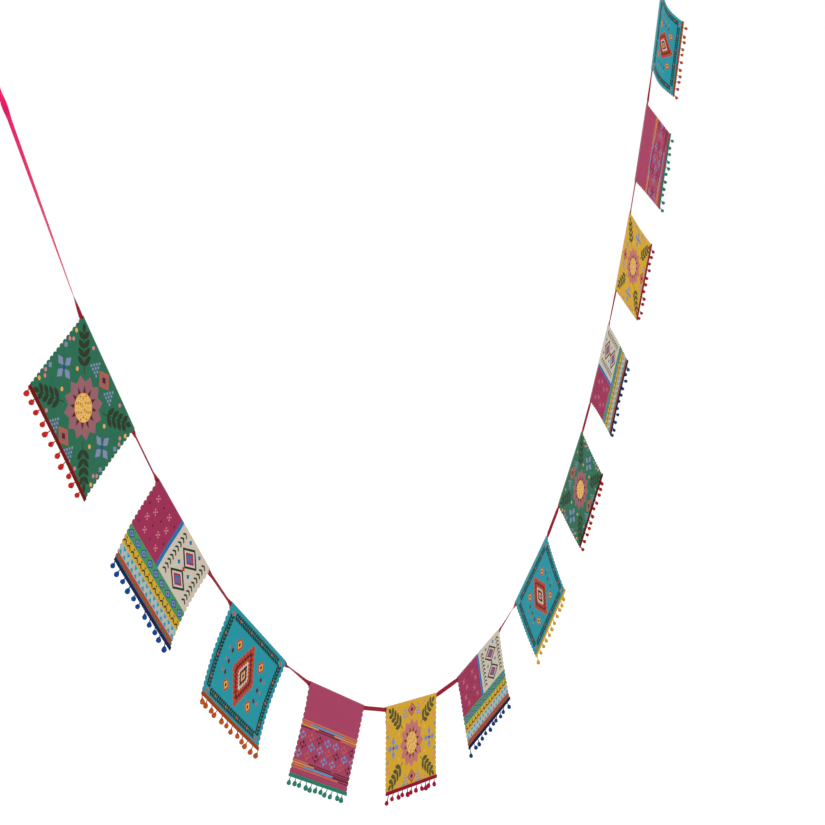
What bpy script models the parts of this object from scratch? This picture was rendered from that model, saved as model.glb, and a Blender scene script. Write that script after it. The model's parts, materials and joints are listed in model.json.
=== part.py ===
"""Pennant banner: twelve card pennants with pom-pom trim, threaded on one flat satin ribbon.

The banner hangs in the XZ plane between its two ribbon loops, in the curve that its own weight
gives it. The origin is where the left loop hangs on its hook, +X runs along the banner and +Z
points up. Every pennant can swing about the ribbon that lies in its fold.
"""

import math
import random

import bmesh
import bpy
from mathutils import Matrix, Vector

MM = 0.001

# Card pennants
PENNANT_WIDTH = 150 * MM
PENNANT_HEIGHT = 119 * MM
CARD_THICKNESS = 0.4 * MM
SCALLOPS_PER_SIDE = 17
SCALLOP_DEPTH = 2.6 * MM
FLAP_OVERLAP = 14 * MM
GLUE_GAP = 0.3 * MM
SLEEVE_RAMP = 4 * MM
SLEEVE_CLEARANCE = 0.3 * MM

# Ribbon
RIBBON_WIDTH = 6 * MM
RIBBON_THICKNESS = 0.4 * MM
SPAN_LENGTH = 66 * MM
LEFT_TAIL_LENGTH = 276 * MM
RIGHT_TAIL_LENGTH = 90 * MM
MOUTH_LENGTH = 2 * MM
PIN_FACE_LENGTH = 24 * MM

# Hanging loops, tied in the ribbon's ends
LOOP_LENGTH = 30 * MM
LOOP_OPENING = 11 * MM
LOOP_START_ANGLE_DEG = 24
KNOT_LENGTH = 9 * MM
KNOT_WIDTH = 8 * MM
KNOT_DEPTH = 6.4 * MM
KNOT_END_SHARE = 0.6
KNOT_CREASES = 2
KNOT_CREASE_DEPTH = 0.7 * MM
KNOT_SEAT_GAP = 0.3 * MM
FREE_END_LENGTH = 26 * MM
FREE_END_OFFSET = 1 * MM
FREE_END_LIFT_DEG = 22
GATHER_SHARE = 0.55
GATHER_LENGTH = 10 * MM

# Pom-pom trim
BRAID_HEIGHT = 5 * MM
BRAID_THICKNESS = 1.2 * MM
BRAID_OVERHANG = 1 * MM
BRAID_SEAT_GAP = 0.3 * MM
POM_POM_PITCH = 13.5 * MM
POM_POM_DIAMETER = 5.6 * MM
POM_POM_SPREAD_SHARE = 0.06
THREAD_DIAMETER = 1 * MM
THREAD_LENGTH = 5.2 * MM
THREAD_SPREAD_SHARE = 0.15
THREAD_ROOT = 0.8 * MM
THREAD_LEAN_DEG = 18
THREAD_SWAY_DEG = 14

# Curve of the hung banner: each pennant's weight as a share of the ribbon's level pull, and
# the place of the lowest point, counted in pennants from the first
WEIGHT_TO_PULL_SHARE = 0.382
LOWEST_PLACE_SHARE = 4.21
SPAN_SHARES = (1.09, 0.96, 1.02, 0.95, 1.04, 1.04, 0.98, 0.93, 1.02, 0.94, 1.01)
LEFT_TAIL_LEAN_DEG = -1.8

# How the ribbon turns over in each free stretch, left tail first: half turns from end to end,
# and its roll soon after the start and shortly before the end, in degrees
HALF_TURNS = (-1, 0, 0, 0, 0, 0, 0, 0, 0, 0, 0, 0, 0)
ROLLS_DEG = (
    (-97, -133), (28, 28), (18, 24), (50, 22), (-20, -20), (-15, -15), (-15, -33),
    (19, 18), (9, 9), (-10, 1), (-8, -6), (13, -4), (0, 0),
)
ROLL_RAMP_SHARE = 0.125

# Steps of the faceted curves
STEPS_PER_SCALLOP = 3
STEPS_ROUND_FOLD = 4
STEPS_PER_SPAN = 8
STEPS_PER_TAIL = 16
STEPS_ROUND_LOOP = 14
STEPS_PER_FREE_END = 5
STEPS_PER_KNOT = 8
KNOT_SIDES = 8
POM_POM_SIDES = 5

# Colours as linear red, green and blue
CARD_COLOURS = {
    "green": (0.023, 0.156, 0.091),
    "panelled": (0.604, 0.479, 0.434),
    "teal": (0.032, 0.283, 0.376),
    "pink": (0.376, 0.046, 0.127),
    "yellow": (0.679, 0.402, 0.026),
}
TRIM_COLOURS = {
    "red": (0.445, 0.016, 0.008),
    "blue": (0.008, 0.060, 0.223),
    "orange": (0.479, 0.107, 0.012),
    "sea_green": (0.023, 0.262, 0.168),
    "crimson": (0.279, 0.008, 0.040),
    "gold": (0.679, 0.402, 0.026),
}
SATIN_COLOUR = (0.445, 0.008, 0.073)

# One entry a pennant, left to right: card, trim, lean against the hanging curve in degrees, how
# far the bottom edge and the middle stand back from the hanging plane as shares of the height,
# and the place of the first pom-pom as a share of the pitch
CARDS = (
    "green", "panelled", "teal", "pink", "yellow", "panelled",
    "teal", "green", "panelled", "yellow", "pink", "teal",
)
TRIMS = (
    "red", "blue", "orange", "sea_green", "crimson", "blue",
    "gold", "red", "blue", "crimson", "sea_green", "orange",
)
LEANS_DEG = (1.5, 0, 1, 0.5, -0.5, 0, 0, 0, -0.5, 0, -0.5, 0)
BOTTOM_PUSH_SHARES = (
    -0.042, -0.025, -0.013, 0.038, -0.013, 0.008, -0.013, 0.004, 0.042, 0.013, -0.025, -0.004,
)
MIDDLE_PUSH_SHARES = (
    0, 0.025, 0.021, 0.004, 0, 0.008, 0.008, 0.008, 0, 0.013, -0.008, 0.067,
)
FIRST_POM_POM_SHARES = (
    0.12, 0.12, 0.05, 0.25, 0.5, 0.3, 0.3, 0.2, 0.3, 0.45, 0.3, 0.25,
)

# Sizes that follow from those above
FOLD_RADIUS = RIBBON_THICKNESS / 2 + SLEEVE_CLEARANCE + CARD_THICKNESS / 2
FOLD_CENTRE = RIBBON_WIDTH / 2
CREST = FOLD_CENTRE + FOLD_RADIUS + CARD_THICKNESS / 2
PANEL_BOTTOM = CREST - PENNANT_HEIGHT
QUARTER_FOLD = math.pi * FOLD_RADIUS / 2
FRONT_LENGTH = FOLD_CENTRE - PANEL_BOTTOM + QUARTER_FOLD
SCALLOP_PITCH = FRONT_LENGTH / SCALLOPS_PER_SIDE
SCALLOP_RADIUS = (SCALLOP_PITCH**2 / 4 + SCALLOP_DEPTH**2) / (2 * SCALLOP_DEPTH)
RAMP_TOP = -(RIBBON_WIDTH / 2 + SLEEVE_CLEARANCE)
RAMP_BOTTOM = RAMP_TOP - SLEEVE_RAMP
FLAP_GLUED_OFFSET = -FOLD_RADIUS + CARD_THICKNESS + GLUE_GAP
FLAP_LENGTH = QUARTER_FOLD + FOLD_CENTRE - RAMP_TOP + SLEEVE_RAMP + FLAP_OVERLAP
LEAST_ROW_STEP = CARD_THICKNESS
LOOP_LEAD = KNOT_SEAT_GAP + KNOT_LENGTH + LOOP_LENGTH
KNOT_MIDDLE = KNOT_SEAT_GAP + KNOT_LENGTH / 2
LOOP_REACH = LOOP_LEAD - KNOT_MIDDLE + RIBBON_THICKNESS / 2
# The widest place of the loop's outline, sin(t) sin(t / 2), where cos(t) is -1/3
WIDEST_SHARE = 4 / math.sqrt(27)


def clear_scene():
    for leftover in list(bpy.data.objects):
        bpy.data.objects.remove(leftover, do_unlink=True)


def new_collection(name):
    collection = bpy.data.collections.new(name)
    bpy.context.scene.collection.children.link(collection)
    return collection


def make_material(name, colour, roughness):
    material = bpy.data.materials.get(name)
    if material is None:
        material = bpy.data.materials.new(name)
        material.use_nodes = True
        shader = material.node_tree.nodes["Principled BSDF"]
        shader.inputs["Base Color"].default_value = (*colour, 1)
        shader.inputs["Roughness"].default_value = roughness
        shader.inputs["Metallic"].default_value = 0
    return material


def mesh_object(name, bm, collection, material):
    mesh = bpy.data.meshes.new(name)
    bm.to_mesh(mesh)
    bm.free()
    mesh.materials.append(material)
    obj = bpy.data.objects.new(name, mesh)
    collection.objects.link(obj)
    return obj


def sheet_object(name, rows, thickness, collection, material):
    """A thin sheet through rows of (one edge, other edge), thickened about its middle."""
    bm = bmesh.new()
    lines = [[bm.verts.new(edge) for edge in row] for row in rows]
    for upper, lower in zip(lines, lines[1:]):
        bm.faces.new((upper[0], upper[1], lower[1], lower[0]))
    sheet = mesh_object(name, bm, collection, material)
    shell = sheet.modifiers.new("Sheet thickness", "SOLIDIFY")
    shell.thickness = thickness
    shell.offset = 0
    shell.use_even_offset = True
    return sheet


def turned(profile, sides):
    """A closed turned body about Z from a profile of (radius, height)."""
    bm = bmesh.new()
    verts = [bm.verts.new((radius, 0, height)) for radius, height in profile]
    edges = [bm.edges.new(pair) for pair in zip(verts, verts[1:])]
    bmesh.ops.spin(
        bm, geom=verts + edges, axis=(0, 0, 1), cent=(0, 0, 0),
        angle=2 * math.pi, steps=sides, use_merge=True,
    )
    bmesh.ops.remove_doubles(bm, verts=bm.verts, dist=THREAD_DIAMETER / 100)
    bmesh.ops.recalc_face_normals(bm, faces=bm.faces)
    return bm


def hide_helper(obj):
    obj.hide_render = True
    obj.display_type = "WIRE"


def join(obj, helper):
    """Adds a helper shape to a body by a Boolean union."""
    hide_helper(helper)
    union = obj.modifiers.new(f"With {helper.name}", "BOOLEAN")
    union.operation = "UNION"
    union.object = helper


def smooth(share):
    return share * share * (3 - 2 * share)


# The hanging curve

def direction(angle):
    return Vector((math.cos(angle), 0, math.sin(angle)))


def pull_angle(place):
    """Slope of the loaded ribbon at a place counted in pennants from the first."""
    return math.atan(WEIGHT_TO_PULL_SHARE * (place - LOWEST_PLACE_SHARE))


def hanging_stretches():
    """The ribbon's centre line as stretches of (kind, start, end, slope angle), left to right.

    A chain of stiff pennants and weightless spans hangs so that the slope of each piece is
    the weight it carries over the level pull in the ribbon, which is the same all along.
    """
    left_angle = pull_angle(-0.5) + math.radians(LEFT_TAIL_LEAN_DEG)
    pieces = [("tail", LEFT_TAIL_LENGTH, left_angle)]
    for place, lean in enumerate(LEANS_DEG):
        if place:
            pieces.append(("span", SPAN_LENGTH * SPAN_SHARES[place - 1], pull_angle(place - 0.5)))
        pieces.append(("sleeve", PENNANT_WIDTH, pull_angle(place) + math.radians(lean)))
    pieces.append(("tail", RIGHT_TAIL_LENGTH, pull_angle(len(CARDS) - 0.5)))

    stretches = []
    point = direction(left_angle) * LOOP_LEAD
    for kind, length, angle in pieces:
        end = point + direction(angle) * length
        stretches.append((kind, point, end, angle))
        point = end
    return stretches


# Card pennants

def panel_push(place, height):
    """How far a pennant's card stands back from the hanging plane at a height on it."""
    down = (RAMP_BOTTOM - height) / (RAMP_BOTTOM - PANEL_BOTTOM)
    if down <= 0:
        return 0
    bottom = PENNANT_HEIGHT * BOTTOM_PUSH_SHARES[place] * down**2
    return bottom + PENNANT_HEIGHT * MIDDLE_PUSH_SHARES[place] * math.sin(math.pi * min(down, 1))


def folded_place(arc):
    """(y, z) of the sheet's middle at an arc length from the crest, negative on the front."""
    if arc <= -QUARTER_FOLD:
        return -FOLD_RADIUS, FOLD_CENTRE + arc + QUARTER_FOLD
    if arc < QUARTER_FOLD:
        turn = arc / FOLD_RADIUS
        return FOLD_RADIUS * math.sin(turn), FOLD_CENTRE + FOLD_RADIUS * math.cos(turn)
    height = FOLD_CENTRE - (arc - QUARTER_FOLD)
    if height >= RAMP_TOP:
        return FOLD_RADIUS, height
    if height >= RAMP_BOTTOM:
        down_ramp = (RAMP_TOP - height) / SLEEVE_RAMP
        return FOLD_RADIUS + down_ramp * (FLAP_GLUED_OFFSET - FOLD_RADIUS), height
    return FLAP_GLUED_OFFSET, height


def half_width(arc):
    """Half the sheet's width at an arc length: round scallops, with a full one over the fold."""
    from_peak = arc - SCALLOP_PITCH * round(arc / SCALLOP_PITCH)
    rise = math.sqrt(SCALLOP_RADIUS**2 - from_peak**2) - (SCALLOP_RADIUS - SCALLOP_DEPTH)
    return PENNANT_WIDTH / 2 - SCALLOP_DEPTH + rise


def sheet_arcs():
    """Arc lengths of the sheet's rows: the scallops' points and the places where it bends."""
    bends = [QUARTER_FOLD * (2 * i / STEPS_ROUND_FOLD - 1) for i in range(STEPS_ROUND_FOLD + 1)]
    bends += [QUARTER_FOLD + FOLD_CENTRE - RAMP_TOP, FLAP_LENGTH - FLAP_OVERLAP]
    bends += [-FRONT_LENGTH, FLAP_LENGTH]
    arcs = list(bends)
    arc = -FRONT_LENGTH + SCALLOP_PITCH / 2
    while arc < FLAP_LENGTH:
        if all(abs(arc - bend) > LEAST_ROW_STEP for bend in bends):
            arcs.append(arc)
        arc += SCALLOP_PITCH / STEPS_PER_SCALLOP
    return sorted(arcs)


def make_card(place, collection):
    """One sheet folded over the ribbon, its back flap glued down below the sleeve."""
    rows = []
    for arc in sheet_arcs():
        y, z = folded_place(arc)
        y += panel_push(place, z)
        half = half_width(arc)
        rows.append(((-half, y, z), (half, y, z)))
    colour_name = CARDS[place]
    material = make_material(f"{colour_name} card", CARD_COLOURS[colour_name], 0.5)
    name = f"pennant_{place + 1:02d}_{colour_name}"
    return sheet_object(name, rows, CARD_THICKNESS, collection, material)


# Pom-pom trim

def turned_drop(ball_radius, thread_length):
    """A thread with a pom-pom on its end, turned about Z, with the thread's root at z above 0."""
    thread_radius = THREAD_DIAMETER / 2
    ball_centre = -thread_length - ball_radius
    shoulder_radius = ball_radius * math.cos(math.pi / 6)
    shoulder_rise = ball_radius * math.sin(math.pi / 6)
    profile = (
        (0, THREAD_ROOT),
        (thread_radius, THREAD_ROOT),
        (thread_radius, -thread_length),
        (shoulder_radius, ball_centre + shoulder_rise),
        (shoulder_radius, ball_centre - shoulder_rise),
        (0, ball_centre - ball_radius),
    )
    return turned(profile, POM_POM_SIDES)


def spread(dice, share):
    return 1 + share * dice.uniform(-1, 1)


def tilted(dice, most_deg, axis):
    return Matrix.Rotation(math.radians(most_deg) * dice.uniform(-1, 1), 4, axis)


def hanging_drops(place):
    """The row of pom-poms below one braid, as loose bodies about the braid's centre."""
    dice = random.Random(place)
    hanging = bmesh.new()
    along = POM_POM_PITCH * FIRST_POM_POM_SHARES[place]
    while along < PENNANT_WIDTH:
        ball_radius = POM_POM_DIAMETER / 2 * spread(dice, POM_POM_SPREAD_SHARE)
        drop = turned_drop(ball_radius, THREAD_LENGTH * spread(dice, THREAD_SPREAD_SHARE))
        root = Matrix.Translation((along - PENNANT_WIDTH / 2, 0, -BRAID_HEIGHT / 2))
        drop.transform(root @ tilted(dice, THREAD_LEAN_DEG, "Y") @ tilted(dice, THREAD_SWAY_DEG, "X"))
        loose = bpy.data.meshes.new("drop")
        drop.to_mesh(loose)
        drop.free()
        hanging.from_mesh(loose)
        bpy.data.meshes.remove(loose)
        along += POM_POM_PITCH
    return hanging


def braid_seat(place):
    """Where the braid lies on the card's front: across its bottom edge, along its slope."""
    middle = PANEL_BOTTOM - BRAID_OVERHANG + BRAID_HEIGHT / 2
    fall = panel_push(place, PANEL_BOTTOM) - panel_push(place, middle + BRAID_HEIGHT / 2)
    slope = math.atan2(fall, BRAID_HEIGHT - BRAID_OVERHANG)
    off_card = FOLD_RADIUS + (CARD_THICKNESS + BRAID_THICKNESS) / 2 + BRAID_SEAT_GAP
    seat = Matrix.Translation((0, panel_push(place, middle) - off_card, middle))
    return seat @ Matrix.Rotation(slope, 4, "X")


def make_trim(place, collection, helpers):
    """Braid along the card's bottom edge with a row of pom-poms on short threads."""
    name = f"trim_{place + 1:02d}_{TRIMS[place]}"
    material = make_material(f"{TRIMS[place]} yarn", TRIM_COLOURS[TRIMS[place]], 0.9)
    bm = bmesh.new()
    size = Matrix.Diagonal((PENNANT_WIDTH, BRAID_THICKNESS, BRAID_HEIGHT, 1))
    bmesh.ops.create_cube(bm, size=1, matrix=size)
    trim = mesh_object(name, bm, collection, material)
    pom_poms = mesh_object(f"{name} pom-poms", hanging_drops(place), helpers, material)
    join(trim, pom_poms)
    return trim, pom_poms


def make_pennant(place, stretch, collection, helpers):
    """A card and its trim under an empty that stands on the pennant's hinge line."""
    _, start, end, angle = stretch
    hinge = bpy.data.objects.new(f"hinge_{place + 1:02d}", None)
    hinge.empty_display_size = RIBBON_WIDTH
    hinge.matrix_world = Matrix.Translation((start + end) / 2) @ Matrix.Rotation(-angle, 4, "Y")
    collection.objects.link(hinge)
    make_card(place, collection).parent = hinge
    for piece in make_trim(place, collection, helpers):
        piece.parent = hinge
        piece.matrix_local = braid_seat(place)


# Ribbon

def gathered(from_knot):
    """Share of the ribbon's width that is left at a distance from the knot's end."""
    return GATHER_SHARE + (1 - GATHER_SHARE) * smooth(min(abs(from_knot) / GATHER_LENGTH, 1))


def tail_end(start, toward, roll):
    """Stations of the flat length beside a knot, from the knot outward."""
    run = (toward - start).normalized()
    return [
        (start, roll, gathered(0)),
        (start + run * GATHER_LENGTH / 2, roll, gathered(GATHER_LENGTH / 2)),
        (start + run * GATHER_LENGTH, roll, 1),
    ]


def roll_at(number, share):
    """Roll at a share of a free stretch, past that of the sleeve before it."""
    first, last = (math.radians(angle) for angle in ROLLS_DEG[number])
    turned_over = math.pi * HALF_TURNS[number]
    if share < ROLL_RAMP_SHARE:
        return first * smooth(share / ROLL_RAMP_SHARE)
    if share > 1 - ROLL_RAMP_SHARE:
        return turned_over + (last - turned_over) * smooth((1 - share) / ROLL_RAMP_SHARE)
    return first + (last - first) * (share - ROLL_RAMP_SHARE) / (1 - 2 * ROLL_RAMP_SHARE)


def ribbon_stations(stretches):
    """(point, roll, width share) along the ribbon: flat in the sleeves, rolling in between."""
    stations = []
    roll = 0.0
    frees = [stretch for stretch in stretches if stretch[0] != "sleeve"]
    last = len(frees) - 1
    for number, (kind, start, end, _) in enumerate(frees):
        run = (end - start).normalized()
        first = start + run * (MOUTH_LENGTH if number else PIN_FACE_LENGTH)
        final = end - run * (PIN_FACE_LENGTH if number == last else MOUTH_LENGTH)
        steps = STEPS_PER_TAIL if number == 0 else STEPS_PER_SPAN
        if number == 0:
            stations += tail_end(start, end, roll)
        for step in range(steps + 1):
            share = step / steps
            stations.append((first.lerp(final, share), roll + roll_at(number, share), 1))
        roll += math.pi * HALF_TURNS[number]
        if number == last:
            stations += reversed(tail_end(end, start, roll))
    return stations


def make_ribbon(stretches, collection, material):
    """The flat ribbon from knot to knot, as a curve with a width and a thickness."""
    stations = ribbon_stations(stretches)
    curve = bpy.data.curves.new("ribbon", "CURVE")
    curve.dimensions = "3D"
    curve.twist_mode = "Z_UP"
    curve.extrude = RIBBON_WIDTH / 2
    spline = curve.splines.new("POLY")
    spline.use_smooth = False
    spline.points.add(len(stations) - 1)
    for point, (place, roll, width_share) in zip(spline.points, stations):
        point.co = (*place, 1)
        point.tilt = -roll
        point.radius = width_share
    curve.materials.append(material)
    ribbon = bpy.data.objects.new("ribbon", curve)
    collection.objects.link(ribbon)
    weave = ribbon.modifiers.new("Ribbon thickness", "SOLIDIFY")
    weave.thickness = RIBBON_THICKNESS
    weave.offset = 0


# Hanging loops

def loop_rows():
    """Edge points of the loop's strip: a teardrop in the XZ plane with its point in the knot."""
    half_opening = (LOOP_OPENING + RIBBON_THICKNESS) / 2
    start = math.radians(LOOP_START_ANGLE_DEG)
    rows = []
    for step in range(STEPS_ROUND_LOOP + 1):
        turn = start + (2 * math.pi - 2 * start) * step / STEPS_ROUND_LOOP
        reach = LOOP_REACH * (1 - math.cos(turn)) / 2
        rise = half_opening * math.sin(turn) * math.sin(turn / 2) / WIDEST_SHARE
        half = RIBBON_WIDTH / 2 * gathered(reach)
        rows.append(((KNOT_MIDDLE + reach, -half, rise), (KNOT_MIDDLE + reach, half, rise)))
    return rows


def free_end_rows():
    """Edge points of the short end that leaves the knot behind the tail and droops along it."""
    length = FREE_END_LENGTH + KNOT_LENGTH / 2
    point = Vector((KNOT_MIDDLE, FREE_END_OFFSET, 0))
    rows = []
    for step in range(STEPS_PER_FREE_END + 1):
        share = step / STEPS_PER_FREE_END
        across = Vector((0, 0, RIBBON_WIDTH / 2 * gathered(length * share)))
        rows.append((point - across, point + across))
        lift = math.radians(FREE_END_LIFT_DEG) * (1 - share)
        point = point + Vector((-math.cos(lift), math.sin(lift), 0)) * length / STEPS_PER_FREE_END
    return rows


def knot_body():
    """A pulled-tight knot as a creased barrel along X, flatter from front to back."""
    profile = [(0, KNOT_LENGTH / 2)]
    for step in range(STEPS_PER_KNOT, -1, -1):
        share = step / STEPS_PER_KNOT
        bulge = math.sqrt(1 - (1 - KNOT_END_SHARE**2) * (2 * share - 1) ** 2)
        crease = KNOT_CREASE_DEPTH * math.sin(math.pi * KNOT_CREASES * share) ** 2
        profile.append((KNOT_WIDTH / 2 * bulge - crease, KNOT_LENGTH * (share - 0.5)))
    profile.append((0, -KNOT_LENGTH / 2))
    bm = turned(profile, KNOT_SIDES)
    flatten = Matrix.Diagonal((1, KNOT_DEPTH / KNOT_WIDTH, 1, 1))
    along_x = Matrix.Rotation(math.pi / 2, 4, "Y")
    bm.transform(Matrix.Translation((KNOT_MIDDLE, 0, 0)) @ along_x @ flatten)
    return bm


def make_hanging_loop(name, ribbon_end, outward, collection, helpers, material):
    """A knot with its loop and free end, in a frame whose X runs from the ribbon outward."""
    knot = mesh_object(name, knot_body(), collection, material)
    strip = sheet_object(f"{name} strip", loop_rows(), RIBBON_THICKNESS, helpers, material)
    free_end = sheet_object(f"{name} end", free_end_rows(), RIBBON_THICKNESS, helpers, material)
    for piece in (knot, strip, free_end):
        piece.matrix_world = Matrix.Translation(ribbon_end) @ Matrix.Rotation(-outward, 4, "Y")
    join(knot, strip)
    join(knot, free_end)


clear_scene()
banner = new_collection("Pennant banner")
helper_shapes = new_collection("Helper shapes")
satin = make_material("magenta satin", SATIN_COLOUR, 0.35)
route = hanging_stretches()
sleeves = [stretch for stretch in route if stretch[0] == "sleeve"]
for place, sleeve in enumerate(sleeves):
    make_pennant(place, sleeve, banner, helper_shapes)
make_ribbon(route, banner, satin)
left_end, left_slope = route[0][1], route[0][3]
right_end, right_slope = route[-1][2], route[-1][3]
make_hanging_loop("left_hanging_loop", left_end, left_slope + math.pi, banner, helper_shapes, satin)
make_hanging_loop("right_hanging_loop", right_end, right_slope, banner, helper_shapes, satin)
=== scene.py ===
"""Dresses the pennant banner: satin ribbon, printed card pennants, pom-pom trim and a plain stage.

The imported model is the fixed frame. Each pennant has a frame of its own on its hinge, with X
along its fold, Y to the back and Z up the card. Sizes are in metres.
"""

import json
import math
import random

import bmesh
import bpy
from bpy.props import FloatProperty, FloatVectorProperty, PointerProperty
from mathutils import Color, Matrix, Vector, noise
from mathutils.geometry import delaunay_2d_cdt


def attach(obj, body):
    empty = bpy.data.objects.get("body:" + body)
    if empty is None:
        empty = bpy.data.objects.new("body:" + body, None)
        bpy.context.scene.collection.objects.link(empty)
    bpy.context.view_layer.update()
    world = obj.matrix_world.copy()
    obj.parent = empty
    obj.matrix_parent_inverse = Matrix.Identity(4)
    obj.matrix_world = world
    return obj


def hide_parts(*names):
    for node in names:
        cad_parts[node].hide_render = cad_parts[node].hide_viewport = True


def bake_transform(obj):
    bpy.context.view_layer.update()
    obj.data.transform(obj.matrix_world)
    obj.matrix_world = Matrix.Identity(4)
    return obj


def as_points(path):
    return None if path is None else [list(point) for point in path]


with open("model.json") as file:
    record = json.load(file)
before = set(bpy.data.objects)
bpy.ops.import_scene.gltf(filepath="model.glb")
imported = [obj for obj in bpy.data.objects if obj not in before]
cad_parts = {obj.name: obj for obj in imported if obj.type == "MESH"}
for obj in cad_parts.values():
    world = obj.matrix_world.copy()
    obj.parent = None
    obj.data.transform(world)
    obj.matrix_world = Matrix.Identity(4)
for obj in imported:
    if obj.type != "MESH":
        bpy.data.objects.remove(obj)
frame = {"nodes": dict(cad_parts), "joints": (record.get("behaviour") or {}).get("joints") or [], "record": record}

bl_info = {
    "name": "Pennant banner",
    "version": (1, 0, 0),
    "blender": (4, 5, 0),
    "location": "3D View > Sidebar > Banner",
    "description": "Builds a printed card banner with pom-pom trim on a satin ribbon",
    "category": "Object",
}

MM = 0.001

# Card pennants
PENNANT_WIDTH = 150 * MM
PENNANT_HEIGHT = 119 * MM
CARD_THICKNESS = 0.4 * MM
SCALLOPS_PER_SIDE = 17
SCALLOP_DEPTH = 2.6 * MM
STEPS_PER_SCALLOP = 8
FLAP_LENGTH = 25.4 * MM
FOLD_RADIUS = 0.7 * MM
FOLD_CENTRE = 3 * MM
FOLD_STEPS = 12
RAMP_TOP = -3.3 * MM
RAMP_BOTTOM = -7.3 * MM
PANEL_ROW_STEP = 6 * MM
PANEL_COLUMN_STEP = 7.5 * MM
CARD_CURL = 1.2 * MM
CARD_CURL_SEED = 40

# Ribbon
RIBBON_WIDTH = 6 * MM
RIBBON_THICKNESS = 0.4 * MM
RIBBON_STEP = 1.5 * MM
RIBBON_TUCK = 20 * MM
RIBBON_PROFILE = ((-1, 0.6), (-0.9, 1), (-0.75, 0.7), (0, 0.7), (0.75, 0.7), (0.9, 1), (1, 0.6))
TWIST_LENGTH = 66 * MM
MOUTH_LENGTH = 2 * MM
PIN_FACE_LENGTH = 24 * MM
GATHER_SHARE = 0.55
GATHER_LENGTH = 10 * MM

# The firmer woven edge of the ribbon, by the distance from its middle
FIRM_EDGE_START = RIBBON_WIDTH * 0.40
FIRM_EDGE_FULL = RIBBON_WIDTH * 0.44

# How the ribbon turns over in each free stretch, left tail first: half turns from end to end,
# and its roll soon after the start and shortly before the end, in degrees
HALF_TURNS = (-1, 0, 0, 0, 0, 0, 0, 0, 0, 0, 0, 0, 0)
ROLLS_DEG = (
    (-97, -133), (28, 28), (18, 24), (50, 22), (-20, -20), (20, 20), (-15, -33),
    (19, 18), (9, 9), (-10, 1), (-8, -6), (13, -4), (0, 0),
)
ROLL_RAMP_SHARE = 0.125

# Hanging loops
LOOP_LEAD = 39.3 * MM
LOOP_REACH = 34.7 * MM
LOOP_OPENING = 11 * MM
LOOP_START_ANGLE_DEG = 24
LOOP_STEPS = 64
KNOT_MIDDLE = 4.8 * MM
KNOT_LENGTH = 9 * MM
KNOT_WIDTH = 8 * MM
KNOT_DEPTH = 6.4 * MM
KNOT_END_SHARE = 0.6
KNOT_RINGS = 28
KNOT_SIDES = 40
KNOT_FOLDS = 3
KNOT_FOLD_TWIST = 7
KNOT_CREASE_DEPTH = 0.35 * MM
KNOT_BAND_WIDTH_SHARE = 0.6
KNOT_BAND_START_DEG = -60
KNOT_BAND_FROM_SHARE = 0.3
KNOT_BAND_RUN_SHARE = 0.4
KNOT_BAND_LIFT = 0.2 * MM
FREE_END_LENGTH = 30.5 * MM
FREE_END_OFFSET = 1 * MM
FREE_END_LIFT_DEG = 22
FREE_END_STEPS = 24
FREE_END_CUT_SLANT = 1.6 * MM

# Pom-pom trim
BRAID_HEIGHT = 5 * MM
BRAID_THICKNESS = 1.2 * MM
BRAID_OVERHANG = 1 * MM
BRAID_SEAT_GAP = 0.3 * MM
BRAID_STEP = 0.5 * MM
BRAID_CORDS = 3
BRAID_ROWS = 19
BRAID_PLAIT_PITCH = 2.6 * MM
BRAID_PLAIT_SHARE = 0.28
BRAID_VALLEY_SHARE = 0.1
BRAID_RELIEF_SHARE = 0.65
# Rise given to the braid's flat back, which paints shade on it
BRAID_BACK_RISE = 0.3
POM_POM_PITCH = 13.5 * MM
POM_POM_DIAMETER = 5.6 * MM
POM_POM_SPREAD_SHARE = 0.06
THREAD_DIAMETER = 1 * MM
THREAD_FLARE_SHARE = 0.9
THREAD_LENGTH = 5.2 * MM
THREAD_SPREAD_SHARE = 0.15
THREAD_ROOT = 0.8 * MM
THREAD_LEAN_DEG = 18
THREAD_SWAY_DEG = 14
THREAD_SIDES = 10
THREAD_RINGS = 14
THREAD_PLY_SHARE = 0.16
THREAD_TWIST_PER_METRE = 2600
THREAD_TUCK_SHARE = 0.3
# The thread's rise, which paints it in shade all along
THREAD_RISE = 0.6

# Tufts of a pom-pom: the scale of each layer of noise, and its weight
TUFT_LAYERS = ((2.2, 0.9), (7.5, 0.45), (19, 0.4))
TUFT_SEED_STEPS = (7.3, 3.1, 5.7)
# How strongly the tufts' noise paints shade into the hollows between them
TUFT_SHADE_SHARE = 1.1
POM_POM_NECK_SHARE = 0.5
POM_POM_SUBDIVISIONS = 4
POM_POM_SEEDS_PER_TRIM = 17

# One entry a pennant, left to right: how far the bottom edge and the middle stand back from the
# hanging plane as shares of the height, and the first pom-pom's place as a share of the pitch
BOTTOM_PUSH_SHARES = (
    -0.042, -0.025, -0.013, 0.038, -0.013, 0.008, -0.013, 0.004, 0.042, 0.013, -0.025, -0.004,
)
MIDDLE_PUSH_SHARES = (
    0, 0.025, 0.021, 0.004, 0, 0.008, 0.008, 0.008, 0, 0.013, -0.008, 0.067,
)
FIRST_POM_POM_SHARES = (
    0.12, 0.12, 0.05, 0.25, 0.5, 0.3, 0.3, 0.2, 0.3, 0.45, 0.3, 0.25,
)

# Pennants, counted from 1, whose first pom-pom hangs loose: how long its thread is beside the
# others, and how far it leans outward in degrees
LOOSE_THREADS = {5: (1.9, 30), 6: (1.6, 10), 7: (1.5, 25), 11: (1.8, 5)}

# Pennants, counted from 1, whose yarn is painted darker as painted shade, and its brightness beside the others'
SHADED_TRIMS = (6, 8, 9)
TRIM_SHADE_SHARE = 0.68
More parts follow.
